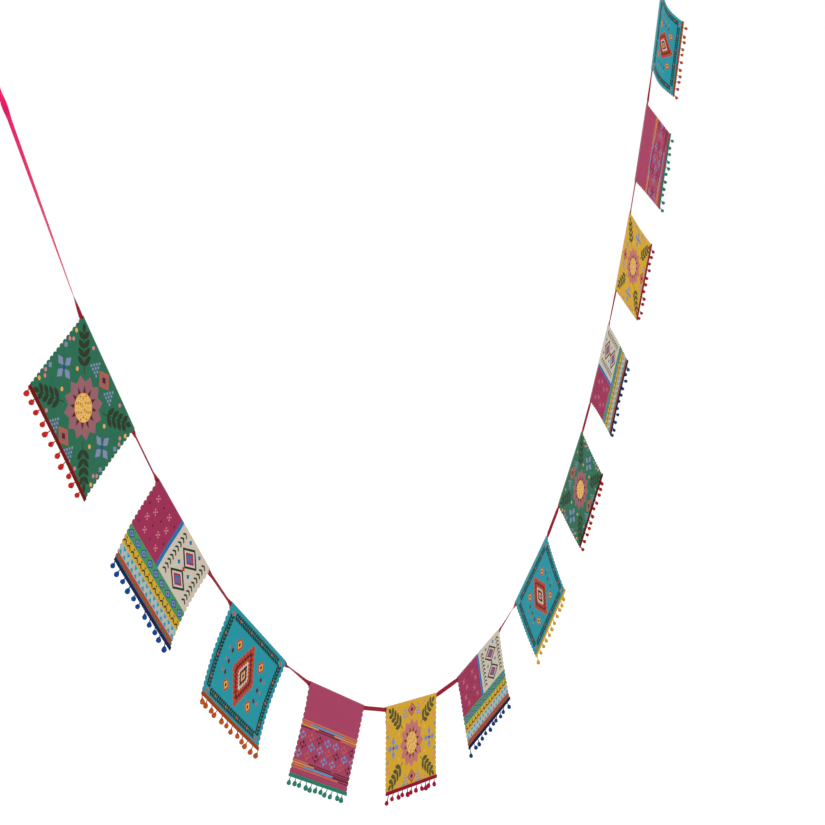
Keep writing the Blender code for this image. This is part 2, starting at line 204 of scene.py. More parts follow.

# Materials of a trim's parts: the scale of the fibres, and how much painted shade darkens the hollows
YARN_FIBRES_AND_SHADES = {"braid": (1500.0, 0.6), "thread": (1500.0, 0.3), "pom_pom": (900.0, 0.6)}

# Brightness of each braid beside its pom-poms
BRAID_SHARES = {
    "red": 0.28, "blue": 0.28, "orange": 0.65, "sea_green": 0.95, "crimson": 0.7, "gold": 0.9,
}

# Camera
CAMERA_PLACE = (-1.4735, -1.2290, -0.2088)
CAMERA_FORWARD = (0.88255, 0.46185, -0.08833)
CAMERA_RIGHT = (0.46170, -0.88673, -0.02334)
CAMERA_LENS_MM = 84.83

# Stage
BANNER_MIDDLE = (0.95, 0, -0.45)
FLOOR_HEIGHT = -1.35
FLOOR_SIZE = 60
WHITE = (1, 1, 1, 1)
FLOOR_GLOW = 0.95
FLOOR_DIFFUSE_SHARE = 0.3

# Lamps, whose powers are settings: size and place of each
LAMPS = {
    "key": ((5, 4), (2.5, -9.5, 4.0)),
    "fill": ((4, 4), (-7.0, -5.0, 1.0)),
    "window": ((4, 4), (-6.5, 5.5, 1.0)),
}

# Roughness and specular level of the two sides of the satin
SATIN_FINISHES = {"dull": (0.55, 0.1), "bright": (0.4, 0.12)}

# Distances from the fold's crest: where the ink is worn most, and where the wear ends
WEAR_FULL = 0.3 * MM
WEAR_END = 2.2 * MM

# Angles past which an edge is sharp
PIECE_SHARP_DEG = 40
TRIM_SHARP_DEG = 60
CARD_SHARP_DEG = 30

# Sizes that follow from those above
QUARTER_FOLD = math.pi * FOLD_RADIUS / 2
PANEL_BOTTOM = FOLD_CENTRE + FOLD_RADIUS + CARD_THICKNESS / 2 - PENNANT_HEIGHT
FRONT_LENGTH = FOLD_CENTRE - PANEL_BOTTOM + QUARTER_FOLD
SCALLOP_PITCH = FRONT_LENGTH / SCALLOPS_PER_SIDE
SCALLOP_RADIUS = (SCALLOP_PITCH**2 / 4 + SCALLOP_DEPTH**2) / (2 * SCALLOP_DEPTH)
FLAT_LENGTH = FRONT_LENGTH + FLAP_LENGTH

JOINTS = sorted(frame["joints"], key=lambda joint: joint["name"])
CARD_NODES = sorted(name for name in frame["nodes"] if name.startswith("pennant_"))
TRIM_NODES = sorted(name for name in frame["nodes"] if name.startswith("trim_"))
MOUNTS = {mount["name"]: Vector(mount["pos_m"]) for mount in frame["record"]["mounts"]}
PLACES = range(len(JOINTS))
LAST_STRETCH = len(JOINTS)


# What a user may change

def colour(name, description, red, green, blue):
    """A colour property, its default on the usual scale of 0 to 255."""
    return FloatVectorProperty(
        name=name, description=description, subtype="COLOR_GAMMA", size=3, min=0, max=1,
        default=(red / 255, green / 255, blue / 255),
    )


def share_setting(name, description, default, most=1):
    return FloatProperty(
        name=name, description=description, default=default, min=0, max=most, subtype="FACTOR"
    )


def power_setting(name, description, default):
    return FloatProperty(
        name=name, description=description, default=default, min=0, unit="POWER"
    )


class BannerInks(bpy.types.PropertyGroup):
    """Printing inks of the pennants."""

    green: colour("Green", "Ground of the green pennants", 36, 104, 77)
    yellow: colour("Yellow", "Ground of the yellow pennants, and stripes", 208, 161, 36)
    teal: colour("Teal", "Ground of the teal pennants", 28, 143, 158)
    pink: colour("Pink", "Ground of the pink pennants", 162, 58, 94)
    raspberry: colour("Raspberry", "Pink block of the panelled pennants", 152, 42, 82)
    cream: colour("Cream", "Cream block of the panelled pennants", 200, 188, 171)
    leaf: colour("Leaf green", "Green band of the panelled pennants", 65, 140, 90)
    mist: colour("Mist", "Grey-blue stripe of the panelled pennants", 165, 180, 180)
    brick: colour("Brick", "Rust-red stripes and shapes", 176, 60, 34)
    blue: colour("Blue", "Upright strip and small shapes", 15, 110, 170)
    navy: colour("Navy", "Dark blue shapes", 25, 80, 140)
    dusk: colour("Dusky pink", "Star on the green ground", 146, 93, 102)
    rose: colour("Rose", "Star on the yellow ground", 188, 112, 106)
    maroon: colour("Maroon", "Dark red shapes", 85, 17, 30)
    ochre: colour("Ochre", "Discs and bright diamonds", 222, 168, 78)
    straw: colour("Straw", "Dots on the ochre discs", 236, 214, 160)
    lilac: colour("Lilac", "Blue-grey shapes", 125, 135, 172)
    olive: colour("Olive", "Sprigs on the green ground", 34, 50, 30)
    moss: colour("Moss", "Sprigs on the yellow ground", 78, 74, 34)
    coral: colour("Coral", "Orange-red shapes", 178, 88, 66)
    blush: colour("Blush", "Pale pink shapes", 208, 125, 138)
    orange: colour("Orange", "Orange stripes", 198, 112, 58)
    sky: colour("Sky", "Light blue stripes", 75, 145, 192)
    forest: colour("Forest", "Dark green shapes", 16, 44, 36)
    board: colour("Board", "Plain back and cut edge of the card", 226, 220, 208)


class BannerYarns(bpy.types.PropertyGroup):
    """Yarn of the braids and pom-poms."""

    red: colour("Red", "Red pom-poms", 226, 40, 28)
    blue: colour("Blue", "Blue pom-poms", 10, 80, 168)
    orange: colour("Orange", "Orange pom-poms", 216, 92, 26)
    sea_green: colour("Sea green", "Sea green pom-poms", 44, 148, 120)
    crimson: colour("Crimson", "Crimson pom-poms", 188, 14, 68)
    gold: colour("Gold", "Gold pom-poms", 238, 190, 46)
    fluff: share_setting("Fluff", "Unevenness of a pom-pom as a share of its radius", 0.14, 0.5)


class BannerRibbon(bpy.types.PropertyGroup):
    """Satin ribbon."""

    # Both sides are one satin, given as a lit and a shaded copy: the bright side's colour paints the light on it,
    # and the back's colour paints shade
    bright: colour("Bright side", "Shining side of the satin", 238, 14, 108)
    dull: colour("Dull side", "Back of the satin, out between the pennants", 148, 0, 36)
    thread_pitch: FloatProperty(
        name="Thread pitch", description="Width of one lengthwise thread", default=0.3 * MM,
        min=0.05 * MM, max=2 * MM, unit="LENGTH",
    )


class BannerCard(bpy.types.PropertyGroup):
    """Finish of the card."""

    roughness: share_setting("Roughness", "Roughness of the printed face", 0.55)
    mottling: share_setting("Mottling", "Unevenness of the ink", 0.05, 0.5)
    wear: share_setting("Fold wear", "How far the ink is worn along the fold", 0.3)


class BannerStage(bpy.types.PropertyGroup):
    """Studio light and floor."""

    key: power_setting("Key light", "Power of the lamp in front", 590)
    fill: power_setting("Fill light", "Power of the lamp at the left", 170)
    window: power_setting("Window light", "Power of the lamp at the back left", 320)
    ambient: FloatProperty(
        name="Room light", description="Even light from all round", default=0.3, min=0, max=2,
    )
    floor: colour("Floor", "Colour of the floor", 236, 235, 232)


class BannerSettings(bpy.types.PropertyGroup):
    """All settings of the banner."""

    inks: PointerProperty(type=BannerInks)
    yarns: PointerProperty(type=BannerYarns)
    ribbon: PointerProperty(type=BannerRibbon)
    card: PointerProperty(type=BannerCard)
    stage: PointerProperty(type=BannerStage)


def linear(shade, brightness=1.0):
    """Linear RGBA for a shader, from a colour property."""
    return (*(Color(shade).from_srgb_to_scene_linear() * brightness), 1)


# Shader helpers

def shader_node(tree, kind, inputs=None, **settings):
    """A node with its settings. Its inputs are plain values or the sockets that feed them."""
    made = tree.nodes.new(kind)
    for name, value in settings.items():
        setattr(made, name, value)
    for name, value in (inputs or {}).items():
        if isinstance(value, bpy.types.NodeSocket):
            tree.links.new(value, made.inputs[name])
        else:
            made.inputs[name].default_value = value
    return made


def maths(tree, operation, first, second=0.0):
    return shader_node(
        tree, "ShaderNodeMath", {0: first, 1: second}, operation=operation
    ).outputs[0]


def times(tree, first, second):
    return maths(tree, "MULTIPLY", first, second)


def plus(tree, first, second):
    return maths(tree, "ADD", first, second)


def mixed(tree, amount, first, second, blend="MIX"):
    return shader_node(
        tree, "ShaderNodeMix", {0: amount, 6: first, 7: second},
        data_type="RGBA", blend_type=blend,
    ).outputs[2]


def ranged(tree, value, low, high, to_low, to_high):
    return shader_node(
        tree, "ShaderNodeMapRange", {0: value, 1: low, 2: high, 3: to_low, 4: to_high}
    ).outputs[0]


def rough_between(tree, mask, low, high):
    """Roughness from low to high, by a noise whose values lie mostly from 0.3 to 0.7."""
    return ranged(tree, mask, 0.3, 0.7, low, high)


def noise_value(tree, vector, scale, detail=2.0):
    return shader_node(
        tree, "ShaderNodeTexNoise", {"Vector": vector, "Scale": scale, "Detail": detail}
    ).outputs[0]


def new_group(name, inputs, outputs):
    """An empty shader node group with its named sockets, and its input and output nodes."""
    tree = bpy.data.node_groups.new(name, "ShaderNodeTree")
    for socket_name, kind, default in inputs:
        socket = tree.interface.new_socket(socket_name, in_out="INPUT", socket_type=kind)
        if default is not None:
            socket.default_value = default
    for socket_name, kind in outputs:
        tree.interface.new_socket(socket_name, in_out="OUTPUT", socket_type=kind)
    return tree, tree.nodes.new("NodeGroupInput"), tree.nodes.new("NodeGroupOutput")


def uneven_group():
    """Patchy variation of a colour, at a coarse and a fine scale."""
    name = "Uneven colour"
    if name in bpy.data.node_groups:
        return bpy.data.node_groups[name]
    tree, given, made = new_group(
        name,
        (
            ("Vector", "NodeSocketVector", None),
            ("Colour", "NodeSocketColor", None),
            ("Scale", "NodeSocketFloat", 100.0),
            ("Amount", "NodeSocketFloat", 0.1),
        ),
        (("Colour", "NodeSocketColor"), ("Mask", "NodeSocketFloat")),
    )
    coarse = noise_value(tree, given.outputs["Vector"], given.outputs["Scale"])
    fine_scale = times(tree, given.outputs["Scale"], 9.0)
    fine = noise_value(tree, given.outputs["Vector"], fine_scale)
    mask = times(tree, plus(tree, coarse, fine), 0.5)
    swing = times(tree, maths(tree, "SUBTRACT", mask, 0.5), 4.0)
    factor = plus(tree, times(tree, swing, given.outputs["Amount"]), 1.0)
    grey = shader_node(tree, "ShaderNodeCombineColor", {0: factor, 1: factor, 2: factor})
    varied = mixed(tree, 1.0, given.outputs["Colour"], grey.outputs[0], "MULTIPLY")
    tree.links.new(varied, made.inputs["Colour"])
    tree.links.new(mask, made.inputs["Mask"])
    return tree


def fibre_group():
    """Height of short matted fibres, for card and yarn."""
    name = "Matted fibres"
    if name in bpy.data.node_groups:
        return bpy.data.node_groups[name]
    tree, given, made = new_group(
        name,
        (
            ("Vector", "NodeSocketVector", None),
            ("Scale", "NodeSocketFloat", 1000.0),
            ("Stretch", "NodeSocketFloat", 4.0),
        ),
        (("Height", "NodeSocketFloat"),),
    )
    layers = []
    for axis in range(2):
        factors = [1.0, 1.0, 1.0]
        factors[axis] = given.outputs["Stretch"]
        stretch = shader_node(tree, "ShaderNodeCombineXYZ", dict(enumerate(factors)))
        drawn = shader_node(
            tree, "ShaderNodeVectorMath", {0: given.outputs["Vector"], 1: stretch.outputs[0]},
            operation="MULTIPLY",
        )
        layers.append(noise_value(tree, drawn.outputs[0], given.outputs["Scale"], 3.0))
    height = times(tree, plus(tree, *layers), 0.5)
    tree.links.new(height, made.inputs["Height"])
    return tree


def uneven(tree, place, shade, scale, amount):
    """The colour with patchy variation, and the mask of its patches."""
    inputs = {"Vector": place, "Colour": shade, "Scale": scale, "Amount": amount}
    return shader_node(tree, "ShaderNodeGroup", inputs, node_tree=uneven_group()).outputs


def fibre_height(tree, place, scale, stretch):
    inputs = {"Vector": place, "Scale": scale, "Stretch": stretch}
    group = fibre_group()
    return shader_node(tree, "ShaderNodeGroup", inputs, node_tree=group).outputs["Height"]


def new_material(name):
    """A material with its tree and its shader, or None for the tree where it exists."""
    found = bpy.data.materials.get(name)
    if found:
        return found, None, None
    material = bpy.data.materials.new(name)
    material.use_nodes = True
    return material, material.node_tree, material.node_tree.nodes["Principled BSDF"]


def feed(tree, shader, **inputs):
    """Fills the shader's inputs, named with _ for a space, by values or by sockets."""
    for name, value in inputs.items():
        socket = shader.inputs[name.replace("_", " ")]
        if isinstance(value, bpy.types.NodeSocket):
            tree.links.new(value, socket)
        else:
            socket.default_value = value


def bump(tree, height, distance, strength=1.0):
    return shader_node(
        tree, "ShaderNodeBump",
        {"Height": height, "Distance": distance, "Strength": strength},
    ).outputs[0]


def uv_place(tree, name):
    return shader_node(tree, "ShaderNodeUVMap", uv_map=name).outputs[0]


def attribute(tree, name, output):
    return shader_node(tree, "ShaderNodeAttribute", attribute_name=name).outputs[output]


# Materials

def satin_material(name, settings, shade, roughness, specular):
    """One side of the satin: fine lengthwise threads, and a firmer woven edge."""
    material, tree, shader = new_material(name)
    if tree is None:
        return material
    place = uv_place(tree, "Weave")
    across = shader_node(tree, "ShaderNodeSeparateXYZ", {0: place}).outputs
    threads = maths(tree, "SINE", times(tree, across[0], 2 * math.pi / settings.thread_pitch))
    picks = maths(tree, "SINE", times(tree, across[1], math.pi / settings.thread_pitch))
    from_middle = maths(tree, "ABSOLUTE", across[0])
    edge = ranged(tree, from_middle, FIRM_EDGE_START, FIRM_EDGE_FULL, 0.0, 1.0)
    height = plus(tree, threads, times(tree, picks, edge))
    varied = uneven(tree, place, linear(shade), 120.0, 0.10)
    edge_share = times(tree, edge, 0.35)
    feed(
        tree, shader,
        Base_Color=mixed(tree, edge_share, varied["Colour"], linear(shade, 0.55)),
        Roughness=rough_between(tree, varied["Mask"], roughness - 0.06, roughness + 0.08),
        Specular_IOR_Level=specular,
        Normal=bump(tree, height, 0.02 * MM, 0.5),
    )
    return material


def printed_card_material(settings):
    """Printed face: the ink of each shape, a little patchy, worn along the fold."""
    material, tree, shader = new_material("printed_card")
    if tree is None:
        return material
    place = uv_place(tree, "Sheet")
    ink = attribute(tree, "Ink", "Color")
    varied = uneven(tree, place, ink, 55.0, settings.card.mottling)
    up_card = shader_node(tree, "ShaderNodeSeparateXYZ", {0: place}).outputs[1]
    from_crest = maths(tree, "ABSOLUTE", up_card)
    near_crest = ranged(tree, from_crest, WEAR_FULL, WEAR_END, 1.0, 0.0)
    worn = ranged(tree, noise_value(tree, place, 700.0, 4.0), 0.42, 0.62, 0.2, 1.0)
    wear = times(tree, times(tree, near_crest, worn), settings.card.wear)
    fleck = ranged(tree, noise_value(tree, place, 1900.0), 0.70, 0.78, 0.0, 0.28)
    bare = maths(tree, "MAXIMUM", wear, fleck)
    fibres = fibre_height(tree, place, 900.0, 3.0)
    rough = settings.card.roughness
    feed(
        tree, shader,
        Base_Color=mixed(tree, bare, varied["Colour"], linear(settings.inks.board)),
        Roughness=rough_between(tree, fibres, rough - 0.08, rough + 0.1),
        Specular_IOR_Level=0.08,
        Normal=bump(tree, fibres, 0.05 * MM, 0.6),
    )
    return material


def board_material(name, settings, ink_share, fibre_scale):
    """Uncoated card, for the back, and for the cut edge with its share of the face's ink."""
    material, tree, shader = new_material(name)
    if tree is None:
        return material
    place = uv_place(tree, "Sheet")
    # The face's ink darkened to 0.45 of its brightness: the cut edge shows darker than the face
    ink = mixed(tree, 1.0, attribute(tree, "Ink", "Color"), (0.45, 0.45, 0.45, 1), "MULTIPLY")
    shade = mixed(tree, ink_share, linear(settings.inks.board), ink)
    varied = uneven(tree, place, shade, 80.0, 0.05)
    fibres = fibre_height(tree, place, fibre_scale, 5.0)
    feed(
        tree, shader, Base_Color=varied["Colour"],
        Roughness=rough_between(tree, fibres, 0.75, 0.9),
        Specular_IOR_Level=0.25,
        Normal=bump(tree, fibres, 0.06 * MM, 0.8),
    )
    return material


def yarn_material(name, shade, brightness, fibre_scale, hollow_shade_share):
    """Dyed yarn, with painted shade: darker where the piece is hollow."""
    material, tree, shader = new_material(name)
    if tree is None:
        return material
    place = shader_node(tree, "ShaderNodeTexCoord").outputs["Object"]
    varied = uneven(tree, place, linear(shade, brightness), 350.0, 0.16)
    hollow_shade = ranged(tree, attribute(tree, "Rise", "Fac"), 0.0, 1.0, hollow_shade_share, 0.0)
    fibres = fibre_height(tree, place, fibre_scale, 2.5)
    feed(
        tree, shader,
        Base_Color=mixed(tree, hollow_shade, varied["Colour"], linear(shade, brightness * 0.3)),
        Roughness=rough_between(tree, fibres, 0.85, 1.0),
        Specular_IOR_Level=0.15,
        Sheen_Weight=0.1, Sheen_Roughness=0.6, Sheen_Tint=linear(shade),
        Normal=bump(tree, fibres, 0.12 * MM, 0.8),
    )
    return material


def floor_material(settings):
    """A pale floor that shows soft shadows and blends into the white room."""
    material, tree, shader = new_material("studio_floor")
    if tree is None:
        return material
    place = shader_node(tree, "ShaderNodeTexCoord").outputs["Object"]
    varied = uneven(tree, place, linear(settings.floor), 1.5, 0.01)
    feed(tree, shader, Base_Color=varied["Colour"], Roughness=0.9, Specular_IOR_Level=0.1)
    soft = shader_node(
        tree, "ShaderNodeBsdfDiffuse", {"Color": linear(settings.floor, FLOOR_DIFFUSE_SHARE)}
    ).outputs[0]
    glow = shader_node(
        tree, "ShaderNodeEmission", {"Color": WHITE, "Strength": FLOOR_GLOW}
    ).outputs[0]
    lifted = shader_node(tree, "ShaderNodeAddShader", {0: soft, 1: glow}).outputs[0]
    shown = shader_node(
        tree, "ShaderNodeMixShader",
        {0: seen_directly(tree), 1: shader.outputs[0], 2: lifted},
    ).outputs[0]
    tree.links.new(shown, tree.nodes["Material Output"].inputs["Surface"])
    return material


def seen_directly(tree):
    """1 for what the camera sees, by itself, in a mirror or through a clear surface."""
    rays = shader_node(tree, "ShaderNodeLightPath").outputs
    mirrored = maths(tree, "MAXIMUM", rays["Is Glossy Ray"], rays["Is Transmission Ray"])
    return maths(tree, "MAXIMUM", rays["Is Camera Ray"], mirrored)


# Meshes

class Shell:
    """Points and faces gathered for one piece."""

    def __init__(self):
        self.points = []
        self.rises = []
        self.faces = []
        self.slots = []
        self.places = []

    def add(self, points, faces, slot=0, rises=None, places=None):
        """Adds a body. rises say how far each point stands out, which also sets the yarn's painted shade in
        hollows; places where it lies flat.
        """
        first = len(self.points)
        self.points += points
        self.rises += rises or [1.0] * len(points)
        self.slots += slot if isinstance(slot, list) else [slot] * len(faces)
        for face in faces:
            self.faces.append([first + corner for corner in face])
            if places:
                self.places += [places[corner] for corner in face]


def smooth_mesh(mesh, sharp_deg):
    mesh.polygons.foreach_set("use_smooth", [True] * len(mesh.polygons))
    mesh.set_sharp_from_angle(angle=math.radians(sharp_deg))


def placed(name, data):
    """A new object in the scene."""
    obj = bpy.data.objects.new(name, data)
    bpy.context.scene.collection.objects.link(obj)
    return obj


def piece_object(name, mesh):
    earlier = bpy.data.objects.get(name)
    if earlier:
        bpy.data.objects.remove(earlier)
    return placed(name, mesh)


def shell_piece(name, shell, materials, sharp_deg=PIECE_SHARP_DEG):
    mesh = bpy.data.meshes.new(name)
    mesh.from_pydata(shell.points, [], shell.faces)
    for material in materials:
        mesh.materials.append(material)
    mesh.polygons.foreach_set("material_index", shell.slots)
    rise = mesh.attributes.new("Rise", "FLOAT", "POINT")
    rise.data.foreach_set("value", shell.rises)
    if shell.places:
        weave = mesh.uv_layers.new(name="Weave")
        weave.data.foreach_set("uv", [number for place in shell.places for number in place])
    bm = bmesh.new()
    bm.from_mesh(mesh)
    bmesh.ops.recalc_face_normals(bm, faces=bm.faces)
    bm.to_mesh(mesh)
    bm.free()
    smooth_mesh(mesh, sharp_deg)
    return piece_object(name, mesh)


def ring_faces(rings, sides):
    """Faces of a closed tube whose rings have that many points, with both ends filled."""
    faces = []
    for ring in range(rings - 1):
        for side in range(sides):
            after = (side + 1) % sides
            faces.append((
                ring * sides + side, ring * sides + after,
                (ring + 1) * sides + after, (ring + 1) * sides + side,
            ))
    faces.append(list(range(sides)))
    faces.append([(rings - 1) * sides + side for side in reversed(range(sides))])
    return faces


def smooth(share):
    return share * share * (3 - 2 * share)


def spread(dice, share):
    return 1 + share * dice.uniform(-1, 1)


# Places on the banner

def square_to(run):
    """The run turned a quarter round in the hanging plane: upward, for a run to the right."""
    return Vector((-run.z, 0, run.x))


def frame_along(origin, run):
    """A frame at an origin: X along the run, Y to the back, Z square to both."""
    columns = Matrix((run, Vector((0, 1, 0)), square_to(run)))
    return Matrix.Translation(origin) @ columns.transposed().to_4x4()


def pennant_frame(place):
    """The frame of a pennant: X along its fold, Y to the back, Z up the card."""
    return frame_along(JOINTS[place]["pos_m"], Vector(JOINTS[place]["axis"]))


def pennant_body(place):
    return JOINTS[place]["child"]


def sleeve_end(place, side):
    """The mouth of a pennant's sleeve, side -1 at its left and 1 at its right."""
    along = Vector(JOINTS[place]["axis"])
    return Vector(JOINTS[place]["pos_m"]) + along * side * PENNANT_WIDTH / 2


def free_stretches():
    """Start and end of the ribbon's free stretches, left tail first."""
    starts = [sleeve_end(place, 1) for place in PLACES]
    ends = [sleeve_end(place, -1) for place in PLACES]
    left, right = MOUNTS["left_loop"], MOUNTS["right_loop"]
    left_knot = left + (ends[0] - left).normalized() * LOOP_LEAD
    right_knot = right + (starts[-1] - right).normalized() * LOOP_LEAD
    return list(zip([left_knot, *starts], [*ends, right_knot]))


# Ribbon

def gathered(from_knot):
    """Share of the ribbon's width that is left at a distance from the knot's end."""
    return GATHER_SHARE + (1 - GATHER_SHARE) * smooth(min(abs(from_knot) / GATHER_LENGTH, 1))


def roll_at(number, share):
    """Roll at a share of a free stretch, past that of the sleeve before it."""
    first, last = (math.radians(angle) for angle in ROLLS_DEG[number])
    turned_over = math.pi * HALF_TURNS[number]
    if share < ROLL_RAMP_SHARE:
        return first * smooth(share / ROLL_RAMP_SHARE)
    if share > 1 - ROLL_RAMP_SHARE:
        return turned_over + (last - turned_over) * smooth((1 - share) / ROLL_RAMP_SHARE)
    return first + (last - first) * (share - ROLL_RAMP_SHARE) / (1 - 2 * ROLL_RAMP_SHARE)


class Route:
    """The ribbon's line from knot to knot, by the distance along it."""

    def __init__(self):
        self.stretches = free_stretches()

    def mouth(self, place, side):
        """Distance of a sleeve's mouth, side -1 at its left and 1 at its right."""
        free = sum((end - start).length for start, end in self.stretches[:place + 1])
        return free + PENNANT_WIDTH * (place + (1 if side > 0 else 0))

    def length(self):
        start, end = self.stretches[-1]
        return self.mouth(PLACES[-1], 1) + (end - start).length

    def station(self, distance):
        """(middle, direction across, width share) at a distance from the left knot."""
        for number, (start, end) in enumerate(self.stretches):
            length = (end - start).length
            if distance <= length or number == LAST_STRETCH:
                return self.free_station(number, distance)
            distance -= length
            if distance < PENNANT_WIDTH:
                return self.sleeve_station(number, distance)
            distance -= PENNANT_WIDTH

    def free_station(self, number, along):
        start, end = self.stretches[number]
        run = (end - start).normalized()
        length = (end - start).length
        first = PIN_FACE_LENGTH if number == 0 else MOUTH_LENGTH
        last = length - (PIN_FACE_LENGTH if number == LAST_STRETCH else MOUTH_LENGTH)
        share = min(max((along - first) / (last - first), 0), 1)
        roll = math.pi * sum(HALF_TURNS[:number]) + roll_at(number, share)
        across = square_to(run) * math.cos(roll) + Vector((0, math.sin(roll), 0))
        width_share = 1.0
        if number == 0:
            width_share = gathered(along)
        elif number == LAST_STRETCH:
            width_share = gathered(length - along)
        return start + run * along, across, width_share

    def sleeve_station(self, place, along):
        run = Vector(JOINTS[place]["axis"])
        roll = math.pi * sum(HALF_TURNS[:place + 1])
        across = square_to(run) * math.cos(roll)
        return sleeve_end(place, -1) + run * along, across, 1.0

    def stations(self, *marks):
        """Stations at even steps between the marks, each mark with one of its own."""
        distances = [marks[0]]
        for first, last in zip(marks, marks[1:]):
            count = max(2, round((last - first) / RIBBON_STEP))
            distances += [first + (last - first) * step / count for step in range(1, count + 1)]
        return [self.station(distance) for distance in distances], distances


def strip_shell(shell, stations, distances=None, cut_slant=0.0):
    """Adds a closed flat strip through stations of (middle, direction across, width share)."""
    middles = [station[0] for station in stations]
    if distances is None:
        distances = [0.0]
        for before, after in zip(middles, middles[1:]):
            distances.append(distances[-1] + (after - before).length)
    sides = 2 * len(RIBBON_PROFILE)
    points, places = [], []
    for number, (middle, across, width_share) in enumerate(stations):
        before = middles[max(number - 1, 0)]
        after = middles[min(number + 1, len(middles) - 1)]
        run = (after - before).normalized()
        normal = across.cross(run).normalized()
        slant = cut_slant if number == len(stations) - 1 else 0.0
        half = RIBBON_WIDTH / 2 * width_share
        for face, profile in ((1, RIBBON_PROFILE), (-1, reversed(RIBBON_PROFILE))):
            for u, thick_share in profile:
                lift = normal * face * RIBBON_THICKNESS / 2 * thick_share
                points.append(middle + across * half * u + run * slant * u + lift)
                places.append((RIBBON_WIDTH / 2 * u, distances[number]))
    faces = ring_faces(len(stations), sides)
    slots = [int(number % sides >= len(RIBBON_PROFILE)) for number in range(len(faces))]
    shell.add(points, faces, slots, places=places)


def ribbon_piece(name, route, materials, *marks):
    """A length of the ribbon between the first and the last mark, and its middle line."""
    stations, distances = route.stations(*marks)
    shell = Shell()
    strip_shell(shell, stations, distances)
    piece = shell_piece(name, shell, materials)
    return piece, [station[0] for station in stations]


def declare_ribbon(piece, path):
    """Measures the middle line of a free stretch of the ribbon and turns it into lists of points; neither result
    is used.
    """
    length = sum((after - before).length for before, after in zip(path, path[1:]))
    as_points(path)


def make_half_span(route, place, side, materials):
    """The ribbon from a pennant's sleeve to mid-span, rolling along its length."""
    mouth = route.mouth(place, side)
    middle = (mouth + route.mouth(place + side, -side)) / 2
    marks = sorted((mouth - side * RIBBON_TUCK, mouth, middle))
    word = "left" if side < 0 else "right"
    piece, path = ribbon_piece(f"ribbon_{word}_of_{place + 1:02d}", route, materials, *marks)
    span_middle = route.station(middle)[0]
    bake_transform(piece)
    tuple(span_middle)
    declare_ribbon(piece, path)


def make_tail(route, side, materials):
    """The ribbon between an end pennant and its knotted loop."""
    place = 0 if side < 0 else PLACES[-1]
    mouth = route.mouth(place, side)
    knot = 0 if side < 0 else route.length()
    marks = sorted((mouth - side * RIBBON_TUCK, mouth, knot))
    word = "left" if side < 0 else "right"
    piece, path = ribbon_piece(f"ribbon_tail_{word}", route, materials, *marks)
    twist_start = route.station(mouth + side * TWIST_LENGTH)[0]
    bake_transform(piece)
    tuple(twist_start)
    declare_ribbon(piece, path)
    return piece


def make_sleeve_strip(route, place, materials):
    """The ribbon inside a pennant's fold."""
    marks = (route.mouth(place, -1) + RIBBON_TUCK, route.mouth(place, 1) - RIBBON_TUCK)
    piece, _ = ribbon_piece(f"ribbon_in_{place + 1:02d}", route, materials, *marks)
    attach(piece, pennant_body(place))


# Hanging loops, in a frame whose X runs from the ribbon's end outward

def loop_stations():
    """A teardrop of ribbon whose point is in the knot."""
    half_opening = (LOOP_OPENING + RIBBON_THICKNESS) / 2
    widest_share = 4 / math.sqrt(27)
    start = math.radians(LOOP_START_ANGLE_DEG)
    stations = []
    for step in range(LOOP_STEPS + 1):
        turn = start + (2 * math.pi - 2 * start) * step / LOOP_STEPS
        reach = LOOP_REACH * (1 - math.cos(turn)) / 2
        rise = half_opening * math.sin(turn) * math.sin(turn / 2) / widest_share
        middle = Vector((KNOT_MIDDLE + reach, 0, rise))
        stations.append((middle, Vector((0, 1, 0)), gathered(reach)))
    return stations


def free_end_stations():
    """The short end that leaves the knot behind the tail and droops along it."""
    point = Vector((KNOT_MIDDLE, FREE_END_OFFSET, 0))
    stations = []
    for step in range(FREE_END_STEPS + 1):
        share = step / FREE_END_STEPS
        stations.append((point, Vector((0, 0, 1)), gathered(FREE_END_LENGTH * share)))
        lift = math.radians(FREE_END_LIFT_DEG) * (1 - share)
        run = Vector((-math.cos(lift), math.sin(lift), 0))
        point = point + run * FREE_END_LENGTH / FREE_END_STEPS
    return stations


def knot_surface(along_share, turn, swell=0.0):
    """A point on the knot's body: along_share from 0 to 1 along it, turn about it."""
    bulge = math.sqrt(1 - (1 - KNOT_END_SHARE**2) * (2 * along_share - 1) ** 2)
    fold = 0.5 + 0.5 * math.sin(KNOT_FOLDS * turn + KNOT_FOLD_TWIST * along_share)
    crease = KNOT_CREASE_DEPTH * fold**3 * math.sin(math.pi * along_share)
    wide = KNOT_WIDTH / 2 * bulge - crease + swell
    deep = KNOT_DEPTH / 2 * bulge - crease + swell
    return Vector((
        KNOT_MIDDLE + KNOT_LENGTH * (along_share - 0.5),
        deep * math.sin(turn), wide * math.cos(turn),
    ))


def knot_shell(shell):
    """The knot: a creased body with the ribbon's last turn wrapped over it on the slant."""
    points, places = [], []
    for ring in range(KNOT_RINGS + 1):
        share = ring / KNOT_RINGS
        for side in range(KNOT_SIDES):
            turn = 2 * math.pi * side / KNOT_SIDES
            points.append(knot_surface(share, turn))
            places.append((KNOT_WIDTH / 2 * turn, KNOT_LENGTH * share))
    shell.add(points, ring_faces(KNOT_RINGS + 1, KNOT_SIDES), places=places)
    band = []
    for step in range(KNOT_SIDES + 1):
        share = step / KNOT_SIDES
        turn = math.radians(KNOT_BAND_START_DEG) + 2 * math.pi * share
        along_share = KNOT_BAND_FROM_SHARE + KNOT_BAND_RUN_SHARE * share
        middle = knot_surface(along_share, turn, KNOT_BAND_LIFT)
        band.append((middle, Vector((1, 0, 0)), KNOT_BAND_WIDTH_SHARE))
    strip_shell(shell, band)


